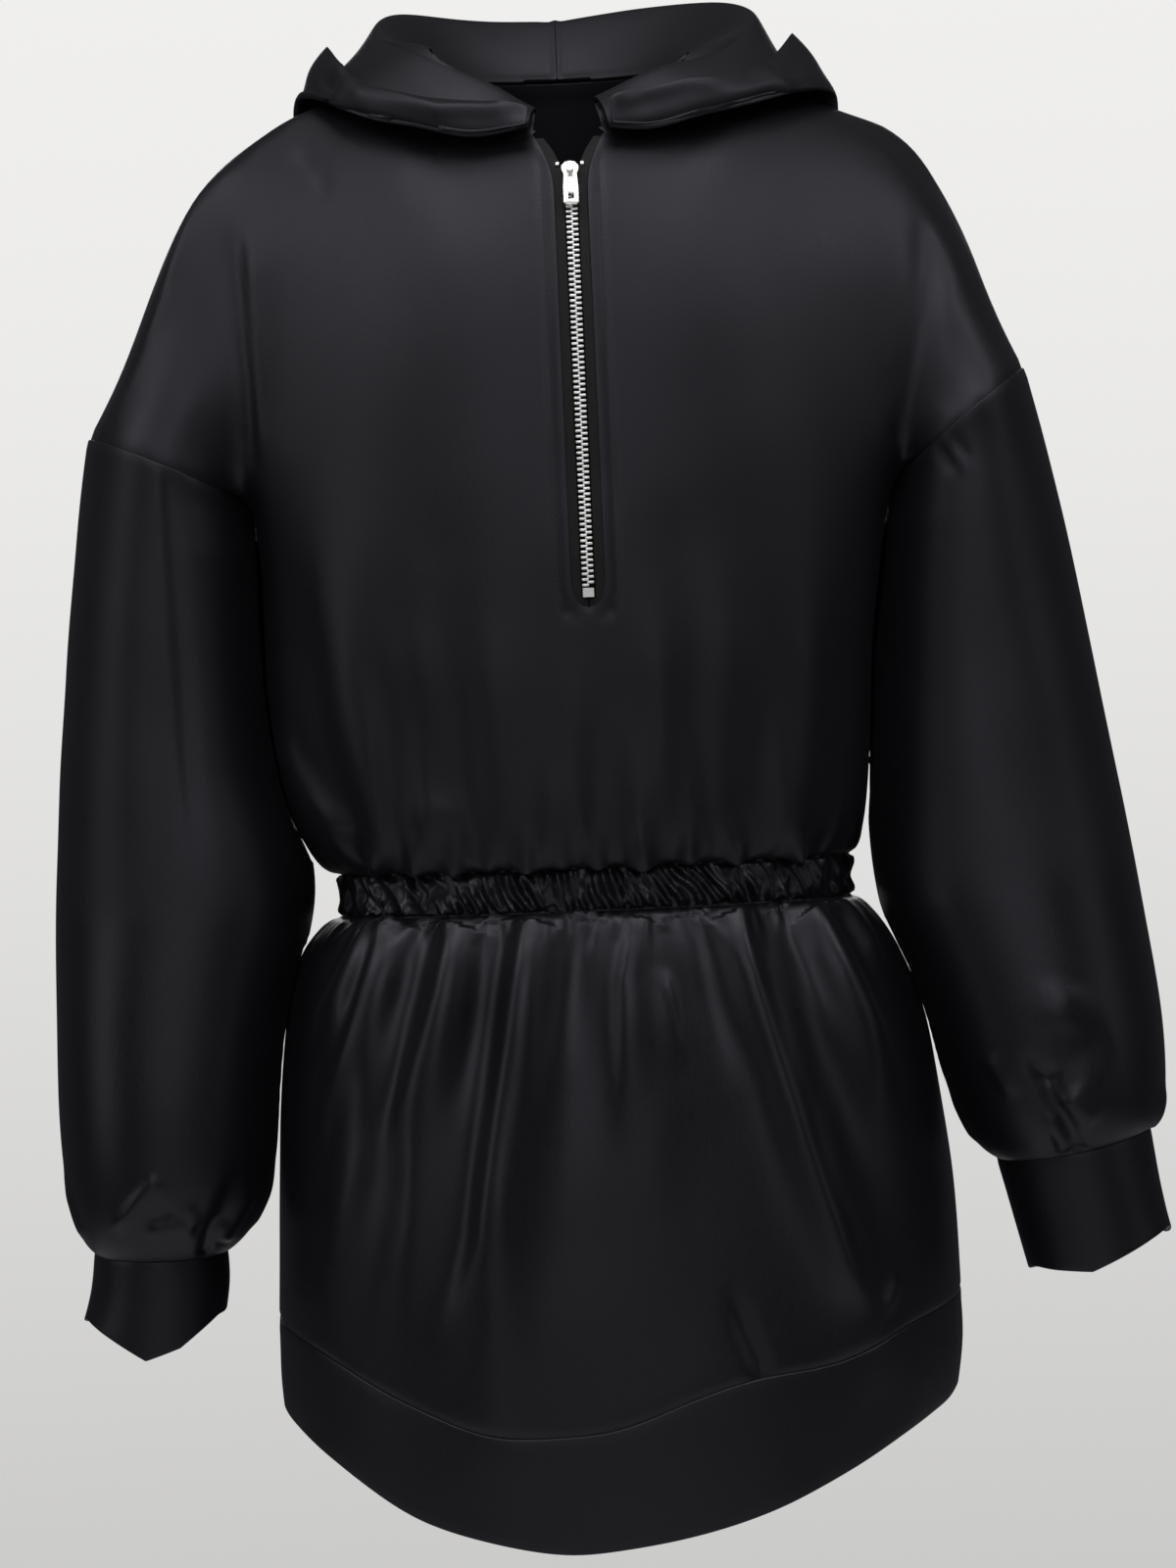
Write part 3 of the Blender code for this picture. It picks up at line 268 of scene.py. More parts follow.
def outside_of(name):
    bm = bmesh.new()
    bm.from_mesh(frame["nodes"][name].data)
    bmesh.ops.remove_doubles(bm, verts=bm.verts, dist=WELD)
    bm.normal_update()
    wall = BAND if name in BANDS else CLOTH
    rim = {face for edge in bm.edges if crosses_wall(edge, wall) for face in edge.link_faces}
    bmesh.ops.delete(bm, geom=list(rim), context="FACES")
    groups = sorted(islands(bm), key=len, reverse=True)[:2]
    keep = max(groups, key=outwardness)
    others = [face for face in bm.faces if face not in keep]
    bmesh.ops.delete(bm, geom=others, context="FACES")
    bmesh.ops.join_triangles(bm, faces=bm.faces, angle_face_threshold=math.radians(60),
                             angle_shape_threshold=math.radians(60))
    sizes = [len(group) for group in groups]
    print(name, "outside:", len(bm.faces), "faces of", sizes, "rim", len(rim))
    return bm


# %% [markdown]
# A panel is refined by a Subdivision modifier, then its folds are pressed in along its normals.
# A fold is a soft ridge or trough along a short path. Real cloth folds are uneven,
# so each has its own height, width and length, and fades out at one or both ends.

# %% Refining panels
def refined(bm, levels):
    mesh = bpy.data.meshes.new("draft")
    bm.to_mesh(mesh)
    bm.free()
    draft = bpy.data.objects.new("draft", mesh)
    bpy.context.scene.collection.objects.link(draft)
    smoother = draft.modifiers.new("Subdivision", "SUBSURF")
    smoother.levels = smoother.render_levels = levels
    smoother.boundary_smooth = "PRESERVE_CORNERS"
    fine = bmesh.new()
    fine.from_object(draft, bpy.context.evaluated_depsgraph_get())
    bpy.data.objects.remove(draft)
    return fine


def calmed(bm, low_z, high_z, rounds):
    """Relaxes the CAD's own unevenness between two heights, away from the edges."""
    inner = [v for v in bm.verts if not v.is_boundary and low_z < v.co.z < high_z]
    for _ in range(rounds):
        bmesh.ops.smooth_vert(bm, verts=inner, factor=0.5,
                              use_axis_x=True, use_axis_y=True, use_axis_z=True)


def split_once(bm, zone):
    """Splits the faces in a zone of the front view once more, where stitches or narrow pleats lie."""
    low_x, high_x, low_z, high_z = zone
    within = {v for v in bm.verts if low_x < v.co.x < high_x and low_z < v.co.z < high_z}
    edges = [edge for edge in bm.edges if all(v in within for v in edge.verts)]
    bmesh.ops.subdivide_edges(bm, edges=edges, cuts=1, use_grid_fill=True)


def smoothstep(value, low, high):
    share = np.clip((value - low) / (high - low), 0.0, 1.0)
    return share * share * (3.0 - 2.0 * share)


def along_path(path, flat):
    """How far each flat point is from a path, its side of the path, and its share of the way along."""
    corners = np.array(path, float) * MM
    lengths = np.linalg.norm(np.diff(corners, axis=0), axis=1)
    nearest, before = np.full(len(flat), np.inf), 0.0
    side, share = np.zeros(len(flat)), np.zeros(len(flat))
    for start, end, length in zip(corners[:-1], corners[1:], lengths):
        step, away = end - start, flat - start
        part = np.clip(away @ step / length ** 2, 0.0, 1.0)
        gap = np.linalg.norm(away - part[:, None] * step, axis=1)
        closer = gap < nearest
        nearest[closer] = gap[closer]
        side[closer] = np.sign(step[0] * away[:, 1] - step[1] * away[:, 0])[closer]
        share[closer] = ((before + part * length) / lengths.sum())[closer]
        before += length
    return nearest, side, share


print("Panel tools ready")

# %% [markdown]
# A row of a fold table gives the view that the fold is seen in, its height and width, how far it
# fades at each end, and its path. A point takes its height by its distance from the path.

# %% Pressing folds in
# for each view: the two axes of its picture, its depth axis, and the sign of a normal that faces it
VIEWS = {"front": ((0, 2), 1, -1), "back": ((0, 2), 1, 1),
         "left": ((1, 2), 0, -1), "right": ((1, 2), 0, 1)}
SHARP = 0.001


def pressed(folds, points, normals):
    """The height of all the folds at each point: (view, height, width, fade in, fade out, path).

    Heights, widths and paths are in millimetres, and fades are shares of the path. A pair of widths
    makes one flank steeper: first the -X flank of a path that runs down, then the +X one.
    """
    total = np.zeros(len(points))
    for view, height, width, fade_in, fade_out, path in folds:
        axes, depth, sign = VIEWS[view]
        facing = smoothstep(normals[:, depth] * sign, 0.0, 0.5)
        gap, side, share = along_path(path, points[:, axes])
        first, second = width if isinstance(width, tuple) else (width, width)
        reach = np.where(side < 0, first, second) * MM
        shape = height * MM * np.exp(-(gap / reach) ** 2) * facing
        start = smoothstep(share, -SHARP, max(fade_in, SHARP))
        end = 1.0 - smoothstep(share, 1.0 - max(fade_out, SHARP), 1.0 + SHARP)
        total += shape * (start * end)
    return total


def waves(points, size, height, seed):
    """Slow uneven swelling of the cloth, for what no named fold gives."""
    offset = Vector((seed, 0.0, 0.0))
    return np.array([noise.noise(Vector(point) / size + offset) for point in points]) * height


print("Fold tools ready")


# %% [markdown]
# The casing draws the cloth in, so short pleats run up into the bodice and down into the skirt.
# They are spread round the waist by angle, each with its own depth and length.

# %% Gathers
# zones of the front view that need finer faces: low x, high x, low z, high z
BODICE_EDGE = (-1, 1, -0.430, -0.372)
SKIRT_EDGE = (-1, 1, -0.475, -0.420)
BESIDE_ZIP = (-0.019, 0.028, -0.300, -0.040)
WAIST_MIDDLE = (0.002, -0.010)
WAIST_RADIUS = 0.128
CASING_TOP_Z, CASING_LOW_Z = -0.4137, -0.4343


def round_waist(points):
    """The distance round the waist from the middle of the front, in metres."""
    return np.arctan2(points[:, 0] - WAIST_MIDDLE[0], WAIST_MIDDLE[1] - points[:, 1]) * WAIST_RADIUS


def gathers(points, away, count, seed, longest):
    """Pleats across the waist seam: every third is long, and the rest are short and deep."""
    chance = random.Random(seed)
    place, total = round_waist(points), np.zeros(len(points))
    around = 2.0 * math.pi * WAIST_RADIUS
    for number in range(count):
        at = (number + chance.uniform(-0.4, 0.4)) * around / count - around / 2
        long = number % 3 == 0
        reach = chance.uniform(0.030, longest) if long else chance.uniform(0.013, 0.022)
        height = chance.uniform(1.0, 2.4) * MM if long else chance.uniform(1.4, 3.2) * MM
        width, lean = chance.uniform(2.2, 3.6) * MM, chance.uniform(-0.4, 0.4)
        gap = (place - at - lean * away + around / 2) % around - around / 2
        fade = np.clip(1.0 - away / reach, 0.0, 1.0) ** 1.3 * smoothstep(away, -0.001, 0.008)
        spread = width * (1.0 + 1.4 * np.clip(away / reach, 0.0, 1.0))
        total += height * np.exp(-(gap / spread) ** 2) * fade
    return total


print("Gathers run round a waist of", round(2000 * math.pi * WAIST_RADIUS), "mm")


# %% [markdown]
# The CAD's pieces stand a little apart. Here each sewn edge moves over its half of the gap,
# and laps under its neighbour by as much as the seam needs. Near the middle, as between
# the two hood halves, edges only meet.

# %% Seams
CLOTH_NODES = [name for name in frame["nodes"] if not name.startswith("zip")]
trees = {}
for name in CLOTH_NODES:
    solid = bmesh.new()
    solid.from_mesh(frame["nodes"][name].data)
    trees[name] = BVHTree.FromBMesh(solid)
    solid.free()

SEAM_REACH, SEAM_DEPTH, LAPPED_DEPTH, SEWN_WITHIN = 2.4 * MM, 1.3 * MM, 0.3 * MM, 3.2 * MM
MEETING, CENTRE_SEAM = 0.2 * MM, 20 * MM
OVERLAP = {"hood_left": 1.6 * MM, "hood_right": 1.6 * MM,
           "sleeve_left": 1.0 * MM, "sleeve_right": 1.0 * MM,
           "hem_band_front": 0.6 * MM, "hem_band_back": 0.6 * MM}


def seam_gap(place, name):
    """The distance to the nearest other cloth piece, or None when none is near enough."""
    gaps = [tree.find_nearest(place, SEWN_WITHIN)[3]
            for other, tree in trees.items() if other != name]
    return min((gap for gap in gaps if gap is not None), default=None)


def from_seams(fine, name):
    """How far each vertex is from the piece's sewn edges."""
    sewn = [v.co.copy() for v in fine.verts if v.is_boundary and seam_gap(v.co, name) is not None]
    finder = KDTree(len(sewn))
    for index, place in enumerate(sewn):
        finder.insert(place, index)
    finder.balance()
    return np.array([finder.find(v.co)[2] if sewn else 1.0 for v in fine.verts])


def close_seams(fine, name):
    """Moves sewn edges over half the CAD's gap, so that no light comes through a seam."""
    moves = {}
    for vertex in fine.verts:
        gap = seam_gap(vertex.co, name) if vertex.is_boundary else None
        inner = [edge.other_vert(vertex).co for edge in vertex.link_edges if not edge.is_boundary]
        if gap is not None and inner:
            over = OVERLAP.get(name, MEETING) if abs(vertex.co.x) > CENTRE_SEAM else MEETING
            outward = (vertex.co - sum(inner, Vector()) / len(inner)).normalized()
            moves[vertex] = outward * (gap / 2 + over)
    for vertex, move in moves.items():
        vertex.co += move


print("Cloth pieces to sew:", len(trees))


# %% [markdown]
# Every cloth piece is finished the same way. Its folds fade out and its surface dips a little
# at the sewn edges, it gets its real wall inwards, and its edges are rounded.
# Bands are folded double, so their wall is thicker and their edges rounder.

# %% Making a cloth piece
def cloth(name, slot, levels, shape,
          calm=None, finer=(), reshape=None, still=3.0 * MM):
    """Dresses one CAD piece. Folds fade out within the distance still of its sewn edges."""
    coarse = outside_of(name)
    if calm:
        calmed(coarse, *calm)
    fine = refined(coarse, levels)
    for zone in finer:
        split_once(fine, zone)
    if reshape:
        reshape(fine)
    close_seams(fine, name)
    fine.normal_update()
    points = np.array([v.co for v in fine.verts])
    normals = np.array([v.normal for v in fine.verts])
    gaps = from_seams(fine, name)
    rise = shape(points, normals) * smoothstep(gaps, 0.0, still)
    depth = LAPPED_DEPTH if name in BANDS or "sleeve" in name else SEAM_DEPTH
    rise -= depth * np.exp(-(gaps / SEAM_REACH) ** 2)
    for vertex, normal, height in zip(fine.verts, normals, rise):
        vertex.co += Vector(normal) * height
    mesh = bpy.data.meshes.new(name + "_cloth")
    fine.to_mesh(mesh)
    fine.free()
    mesh.shade_smooth()
    mesh.materials.clear()
    mesh.materials.append(CLOTH_LOOK[slot])
    piece = bpy.data.objects.new(name + "_cloth", mesh)
    bpy.context.scene.collection.objects.link(piece)
    wall = piece.modifiers.new("Wall", "SOLIDIFY")
    wall.thickness, wall.offset = (BAND if name in BANDS else CLOTH), -1.0
    edge = piece.modifiers.new("Edge", "BEVEL")
    edge.width, edge.segments = (0.9 * MM, 3) if name in BANDS else (0.7 * MM, 2)
    edge.limit_method, edge.angle_limit = "ANGLE", math.radians(60)
    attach(piece, "garment")
    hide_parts(name)
    low, high = round(rise.min() / MM, 1), round(rise.max() / MM, 1)
    print(name, "vertices:", len(mesh.vertices), "folds from", low, "to", high, "mm")


print("Walls in mm: cloth", round(CLOTH / MM, 1), "and bands", round(BAND / MM, 1))

# %% [markdown]
# The front panel is one piece with a slit for the zip. It hangs smooth over the chest,
# then falls in long soft folds that the casing gathers. The dropped shoulder folds at the armpit.

# %% Bodice front
FRONT_BODICE_FOLDS = [
    ("front", 3.0, (3.5, 14), 0.3, 0.2,
     [(-167, -55), (-165, -85), (-164, -121), (-162, -168), (-163, -206)]),
    ("front", -2.2, (9, 5), 0.3, 0.2, [(-175, -60), (-173, -100), (-171, -168), (-170, -205)]),
    ("front", -1.6, (3, 5), 0.3, 0.0, [(-250, -128), (-249, -155), (-247, -180)]),
    ("front", -3.0, 20, 0.4, 0.4, [(-173, -215), (-156, -290), (-140, -340)]),
    ("front", 2.8, (9, 18), 0.4, 0.3, [(-136, -220), (-127, -305), (-115, -385)]),
    ("front", -2.6, 12, 0.5, 0.2, [(-96, -290), (-88, -335), (-76, -385)]),
    ("front", 3.2, (9, 4), 0.3, 0.2, [(-161, -328), (-154, -352), (-140, -375), (-121, -396)]),
    ("front", -1.3, (5, 3), 0.2, 0.4,
     [(-143, -26), (-134, -32), (-127, -41), (-124, -51), (-122, -66)]),
    ("front", -3.2, (8, 9), 0.25, 0.3,
     [(192, -60), (190, -109), (184, -147), (175, -186), (168, -210)]),
    ("front", 1.0, 9, 0.4, 0.4, [(204, -89), (198, -122), (190, -152), (182, -182)]),
    ("front", -3.0, 7, 0.6, 0.0, [(-130, -350), (-125, -385), (-121, -411)]),
    ("front", 3.0, (8, 5), 0.6, 0.1, [(-108, -300), (-110, -360), (-104, -411)]),
    ("front", 2.4, 8, 0.7, 0.0, [(-84, -330), (-84, -376), (-83, -411)]),
    ("front", -2.4, 9, 0.7, 0.1, [(-60, -300), (-62, -360), (-58, -411)]),
    ("front", 2.4, 7, 0.7, 0.0, [(-19, -330), (-19, -379), (-22, -413)]),
    ("front", -2.2, 8, 0.6, 0.1, [(2, -310), (4, -365), (2, -413)]),
    ("front", 2.7, 8, 0.7, 0.0, [(21, -320), (25, -376), (26, -414)]),
    ("front", 2.2, 6, 0.7, 0.0, [(51, -332), (52, -382), (52, -413)]),
    ("front", -2.7, 10, 0.6, 0.1, [(74, -290), (78, -350), (76, -413)]),
    ("front", 3.2, 9, 0.6, 0.0, [(97, -310), (100, -374), (101, -414)]),
    ("front", -1.4, 18, 0.4, 0.5, [(-66, -215), (-70, -260), (-76, -320)]),
    ("front", -1.2, 16, 0.4, 0.5, [(50, -215), (54, -265), (55, -320)]),
    ("front", -0.9, 1.6, 0.0, 0.05, [(-10.4, -47), (-10.4, -272), (-7, -284), (4.5, -288)]),
    ("front", -0.9, 1.6, 0.0, 0.05, [(19.4, -47), (19.4, -272), (16, -284), (4.5, -288)]),
    ("front", -1.5, 1.7, 0.05, 0.05, [(-8, -281.5), (4, -282), (17, -281.5)]),
]
# where along the front, height, width, in millimetres
EDGE_PUCKERS = ((-112, 6, 4), (-90, 6, 5), (-69, 8, 5), (-52, 4, 4), (-33, 9, 5.5), (-14, 4, 4),
                (3.5, 8.5, 5), (25, 9, 7), (49, 5, 4), (73, 9, 6), (105, 7, 4))
PUCKER_REACH = 27 * MM
BODICE_PLEATS, BODICE_LONGEST = 66, 55 * MM
CHEST = (-0.30, 0.02)


def bodice_shape(folds, seed):
    def shape(points, normals):
        above = points[:, 2] - CASING_TOP_Z
        tuck = sum(height * MM * np.exp(-((points[:, 0] - at * MM) / (width * MM)) ** 2)
                   for at, height, width in EDGE_PUCKERS)
        tuck *= (np.clip(1.0 - above / PUCKER_REACH, 0.0, 1.0) ** 1.5
                 * smoothstep(above, -0.001, 0.003) * (points[:, 1] < 0.0))
        swell = waves(points, 0.055, 0.7 * MM, seed) * smoothstep(-points[:, 2], 0.02, 0.10)
        pleats = gathers(points, above, BODICE_PLEATS, seed, BODICE_LONGEST)
        return pressed(folds, points, normals) + pleats + tuck + swell
    return shape


cloth("bodice_front", "knit", 2, bodice_shape(FRONT_BODICE_FOLDS, 3),
      calm=(*CHEST, 9), finer=(BODICE_EDGE, BESIDE_ZIP))

# %% [markdown]
# The back is cut the same way without the slit. It doesn't show in the photograph,
# so its folds are a guess: like the front's, but never the same.

# %% Bodice back
BACK_BODICE_FOLDS = [
    ("back", -2.2, 9, 0.25, 0.35, [(-176, -80), (-176, -120), (-172, -170), (-166, -215)]),
    ("back", -2.4, 9, 0.25, 0.35, [(182, -85), (180, -125), (174, -170), (166, -210)]),
    ("back", 2.2, 10, 0.5, 0.1, [(-112, -270), (-108, -350), (-98, -412)]),
    ("back", -2.0, 9, 0.5, 0.1, [(-74, -300), (-72, -360), (-66, -412)]),
    ("back", 2.4, 9, 0.6, 0.0, [(-34, -280), (-36, -350), (-30, -412)]),
    ("back", -1.8, 11, 0.5, 0.1, [(4, -250), (6, -330), (4, -412)]),
    ("back", 2.0, 8, 0.6, 0.0, [(40, -310), (40, -365), (38, -412)]),
    ("back", 2.6, 10, 0.5, 0.1, [(92, -260), (90, -340), (84, -412)]),
    ("back", -2.0, 9, 0.5, 0.1, [(122, -310), (118, -365), (108, -412)]),
    ("back", 1.2, 12, 0.5, 0.5, [(-60, -120), (-10, -132), (50, -124)]),
    ("left", 3.4, 9, 0.12, 0.2, [(22, -222), (22, -300), (20, -395)]),
    ("right", 3.4, 9, 0.12, 0.2, [(22, -222), (22, -300), (20, -395)]),
]
cloth("bodice_back", "knit", 2, bodice_shape(BACK_BODICE_FOLDS, 11),
      calm=(*CHEST, 4), finer=(BODICE_EDGE,))

# %% [markdown]
# Each sleeve is one piece, sewn into a tube. It hangs from the dropped armhole, widest at the elbow,
# and bags over the cuff, where it breaks into short hard creases.

# %% Sleeve folds
LEFT_SLEEVE_FOLDS = [
    ("front", -1.5, (3, 9), 0.1, 0.4, [(-212, -185), (-210, -270), (-208, -350), (-203, -430)]),
    ("front", 2.2, (3, 6), 0.2, 0.3, [(-228, -560), (-242, -575), (-256, -591)]),
    ("front", 1.8, (4, 4), 0.2, 0.3, [(-211, -592), (-224, -589), (-240, -591)]),
    ("front", -1.6, 5, 0.3, 0.3, [(-222, -577), (-230, -584), (-240, -585)]),
    ("front", 1.2, 3.5, 0.3, 0.3, [(-217, -577), (-211, -590)]),
    ("front", -2.6, 2.8, 0.3, 0.0, [(-201, -584), (-206, -594), (-210, -606)]),
    ("front", 2.8, (5, 3.5), 0.3, 0.1, [(-183, -570), (-191, -585), (-201, -600)]),
    ("front", -2.2, 5, 0.3, 0.2, [(-189, -562), (-196, -578), (-202, -592)]),
    ("back", 2.0, 6, 0.2, 0.5, [(-262, -602), (-248, -585), (-240, -560)]),
    ("back", -1.8, 6, 0.2, 0.5, [(-236, -604), (-224, -586), (-216, -566)]),
    ("back", 1.6, 14, 0.4, 0.4, [(-232, -300), (-238, -400), (-242, -500)]),
    ("left", 1.8, 6, 0.2, 0.5, [(-60, -600), (-56, -580), (-46, -556)]),
    ("left", -1.6, 7, 0.2, 0.5, [(-34, -604), (-30, -580), (-26, -556)]),
    ("right", 1.4, 6, 0.2, 0.5, [(-36, -600), (-34, -580), (-26, -560)]),
    ("front", -1.4, 16, 0.4, 0.4, [(-214, -270), (-222, -360), (-232, -440)]),
]
RIGHT_SLEEVE_FOLDS = [
    ("front", -2.2, 12, 0.3, 0.0, [(266, -512), (247, -517), (238, -524), (229, -534)]),
    ("front", -3.2, (5, 4), 0.2, 0.0,
     [(236, -524), (229, -532), (231, -541), (239, -556), (246, -572)]),
    ("front", -1.8, 4, 0.4, 0.3, [(221, -514), (224, -526), (228, -536)]),
    ("front", -1.8, 3.5, 0.3, 0.0, [(227, -560), (231, -568), (234, -576)]),
    ("front", 1.6, 4, 0.3, 0.2, [(229, -548), (234, -560), (240, -572)]),
    ("front", 2.4, (5, 10), 0.2, 0.3, [(236, -540), (245, -550), (254, -558)]),
    ("front", 2.0, 11, 0.4, 0.4, [(244, -480), (239, -496), (234, -510)]),
    ("front", 1.4, (3, 5), 0.3, 0.3, [(199, -518), (205, -529), (213, -542)]),
    ("front", -1.4, 3.5, 0.0, 0.6, [(198, -200), (203, -207), (208, -214)]),
    ("front", -1.4, 3.5, 0.0, 0.6, [(192, -203), (196, -211), (200, -220)]),
    ("front", 1.4, 3.5, 0.0, 0.6, [(196, -201), (200, -209), (205, -219)]),
    ("back", 2.2, 7, 0.4, 0.1, [(244, -540), (250, -556), (254, -568)]),
    ("back", -2.0, 7, 0.4, 0.1, [(226, -545), (232, -560), (236, -574)]),
    ("back", 1.6, 14, 0.4, 0.4, [(226, -290), (234, -390), (246, -480)]),
    ("right", 1.8, 7, 0.5, 0.1, [(-60, -535), (-56, -550), (-52, -566)]),
    ("right", -1.6, 7, 0.5, 0.1, [(-30, -530), (-30, -550), (-34, -566)]),
    ("left", 1.4, 6, 0.2, 0.5, [(-40, -570), (-36, -552), (-28, -535)]),
    ("front", -1.4, 16, 0.4, 0.4, [(206, -260), (222, -350), (240, -430)]),
]
print("Sleeve folds:", len(LEFT_SLEEVE_FOLDS), "and", len(RIGHT_SLEEVE_FOLDS))

# %% [markdown]
# The sleeves hang close to the body, so their inner sides lean a few millimetres nearer to it
# than the CAD, and stay clear of it everywhere.

# %% Sleeves
BODY_TREES = [trees[name] for name in ("bodice_front", "bodice_back", "waist_casing",
                                       "skirt_front", "skirt_back")]
LEAN_CLEAR, STEP_BACK, LOOK_AHEAD, TOUCHING = 2.2 * MM, 2 * MM, 50 * MM, 0.8 * MM


def leaning(inward, heights, amounts):
    """Lets a sleeve's inner side rest nearer to the body, by no more than the room that is there.

    Heights are in metres, and the amounts at them in millimetres.
    """
    amounts = [amount * MM for amount in amounts]

    def reshape(fine):
        fine.normal_update()
        way = Vector((inward, 0.0, 0.0))
        for vertex in fine.verts:
            facing = smoothstep(vertex.normal.x * inward, -0.2, 0.6)
            wanted = np.interp(vertex.co.z, heights, amounts) * facing
            if wanted > 0.0:
                start = vertex.co - way * STEP_BACK
                rooms = [tree.ray_cast(start, way, LOOK_AHEAD)[3] for tree in BODY_TREES]
                room = min([r - STEP_BACK for r in rooms if r is not None], default=1.0)
                nearest = min(tree.find_nearest(vertex.co)[3] for tree in BODY_TREES)
                vertex.co.x += inward * min(wanted, max(room - LEAN_CLEAR, 0.0),
                                            max((nearest - TOUCHING) * 1.6, 0.0))
    return reshape


def sleeve_shape(folds, seed):
    return lambda points, normals: pressed(folds, points, normals) + waves(points, 0.06, 0.8 * MM, seed)


LEFT_LEAN = leaning(1, [-0.62, -0.58, -0.46, -0.40, -0.28, -0.24, -0.214],
                    [0.0, 4.0, 7.5, 8.0, 7.0, 5.5, 0.0])
RIGHT_LEAN = leaning(-1, [-0.58, -0.53, -0.44, -0.38, -0.28, -0.24, -0.214],
                     [0.0, 4.0, 8.0, 5.0, 5.0, 4.5, 0.0])
cloth("sleeve_left", "knit", 3, sleeve_shape(LEFT_SLEEVE_FOLDS, 5),
      reshape=LEFT_LEAN)
cloth("sleeve_right", "knit", 3, sleeve_shape(RIGHT_SLEEVE_FOLDS, 7),
      reshape=RIGHT_LEAN)

# %% [markdown]
# Cuffs are plain bands of the same knit, folded double, with the fold at the hand.
# The photograph gives the line of each free edge, and the front of the band follows it.

# %% Cuffs
def quiet_shape(seed, height):
    return lambda points, normals: waves(points, 0.035, height, seed)


def free_edge_to(line, seam_z, middle_y):
    """Moves the front of a cuff's free edge to a line, and the cloth above it in proportion."""
    corners = np.array(line, float) * MM

    def reshape(fine):
        fine.verts.ensure_lookup_table()
        edge = sorted((v.co.x, v.co.z) for v in fine.verts
                      if v.is_boundary and v.co.y < middle_y and v.co.z < seam_z - 0.02)
        edge_x, edge_z = zip(*edge)
        for vertex in fine.verts:
            x, y, z = vertex.co
            now = np.interp(x, edge_x, edge_z)
            wanted = np.interp(x, corners[:, 0], corners[:, 1])
            down = min(max((seam_z - z) / (seam_z - now), 0.0), 1.0)
            vertex.co.z += (wanted - now) * down ** 2 * smoothstep(middle_y - y, -0.004, 0.016)
    return reshape


LEFT_CUFF_EDGE = [(-277, -637), (-273, -640), (-242, -659), (-224, -653.5), (-199, -635)]
RIGHT_CUFF_EDGE = [(217, -632.5), (232, -633.5), (250, -634), (284, -618.5), (297, -613)]
LEFT_CUFF_SEAM_Z, RIGHT_CUFF_SEAM_Z = -0.607, -0.578
LEFT_CUFF_MIDDLE_Y, RIGHT_CUFF_MIDDLE_Y = -0.045, -0.046
cloth("cuff_left", "knit_hem", 3, quiet_shape(13, 0.7 * MM),
      reshape=free_edge_to(LEFT_CUFF_EDGE, LEFT_CUFF_SEAM_Z, LEFT_CUFF_MIDDLE_Y))
cloth("cuff_right", "knit_hem", 3, quiet_shape(17, 0.7 * MM),
      reshape=free_edge_to(RIGHT_CUFF_EDGE, RIGHT_CUFF_SEAM_Z, RIGHT_CUFF_MIDDLE_Y))

# %% [markdown]
# The casing is a narrow tube for an elastic. The elastic shortens it, so it crumples
# into fine slanting puckers that run from one seam to the other.

# %% Waist casing
# pitch, slant, height, seed
PUCKERS = ((9.6 * MM, 0.62, 3.2 * MM, 1.0), (17.0 * MM, -0.45, 0.8 * MM, 3.0))
CASING_HALF, END_PINCH = 10.3 * MM, 3.0 * MM


def casing_shape(points, normals):
    place = round_waist(points)
    level = points[:, 2] - (CASING_TOP_Z + CASING_LOW_Z) / 2
    total = waves(points, 0.005, 0.6 * MM, 2.0) + waves(points, 0.012, 1.4 * MM, 6.0) - 0.9 * MM
    # the puckers wander a little and vary in strength, so no two are alike
    for pitch, slant, height, seed in PUCKERS:
        wander = waves(points, 0.026, 7.0 * MM, seed)
        strength = np.clip(0.9 + waves(points, 0.015, 1.8, seed + 5.0), 0.0, 1.5)
        ridge = np.abs(np.sin((place + slant * level + wander) * math.pi / pitch))
        total += (1.0 - ridge) * strength * height
    side = smoothstep(np.abs(normals[:, 0]), 0.55, 0.95)
    pinch = END_PINCH * side * (1.0 - np.clip(np.abs(level) / CASING_HALF, 0.0, 1.0) ** 2)
    return total * (1.0 - 0.5 * side) - pinch


cloth("waist_casing", "casing_knit", 3, casing_shape,
      still=1.6 * MM)

# %% [markdown]
# The skirt hangs from the casing in long flutes. Those of the front lean outwards to the sides,
# with soft troughs between them, and the back has its own.

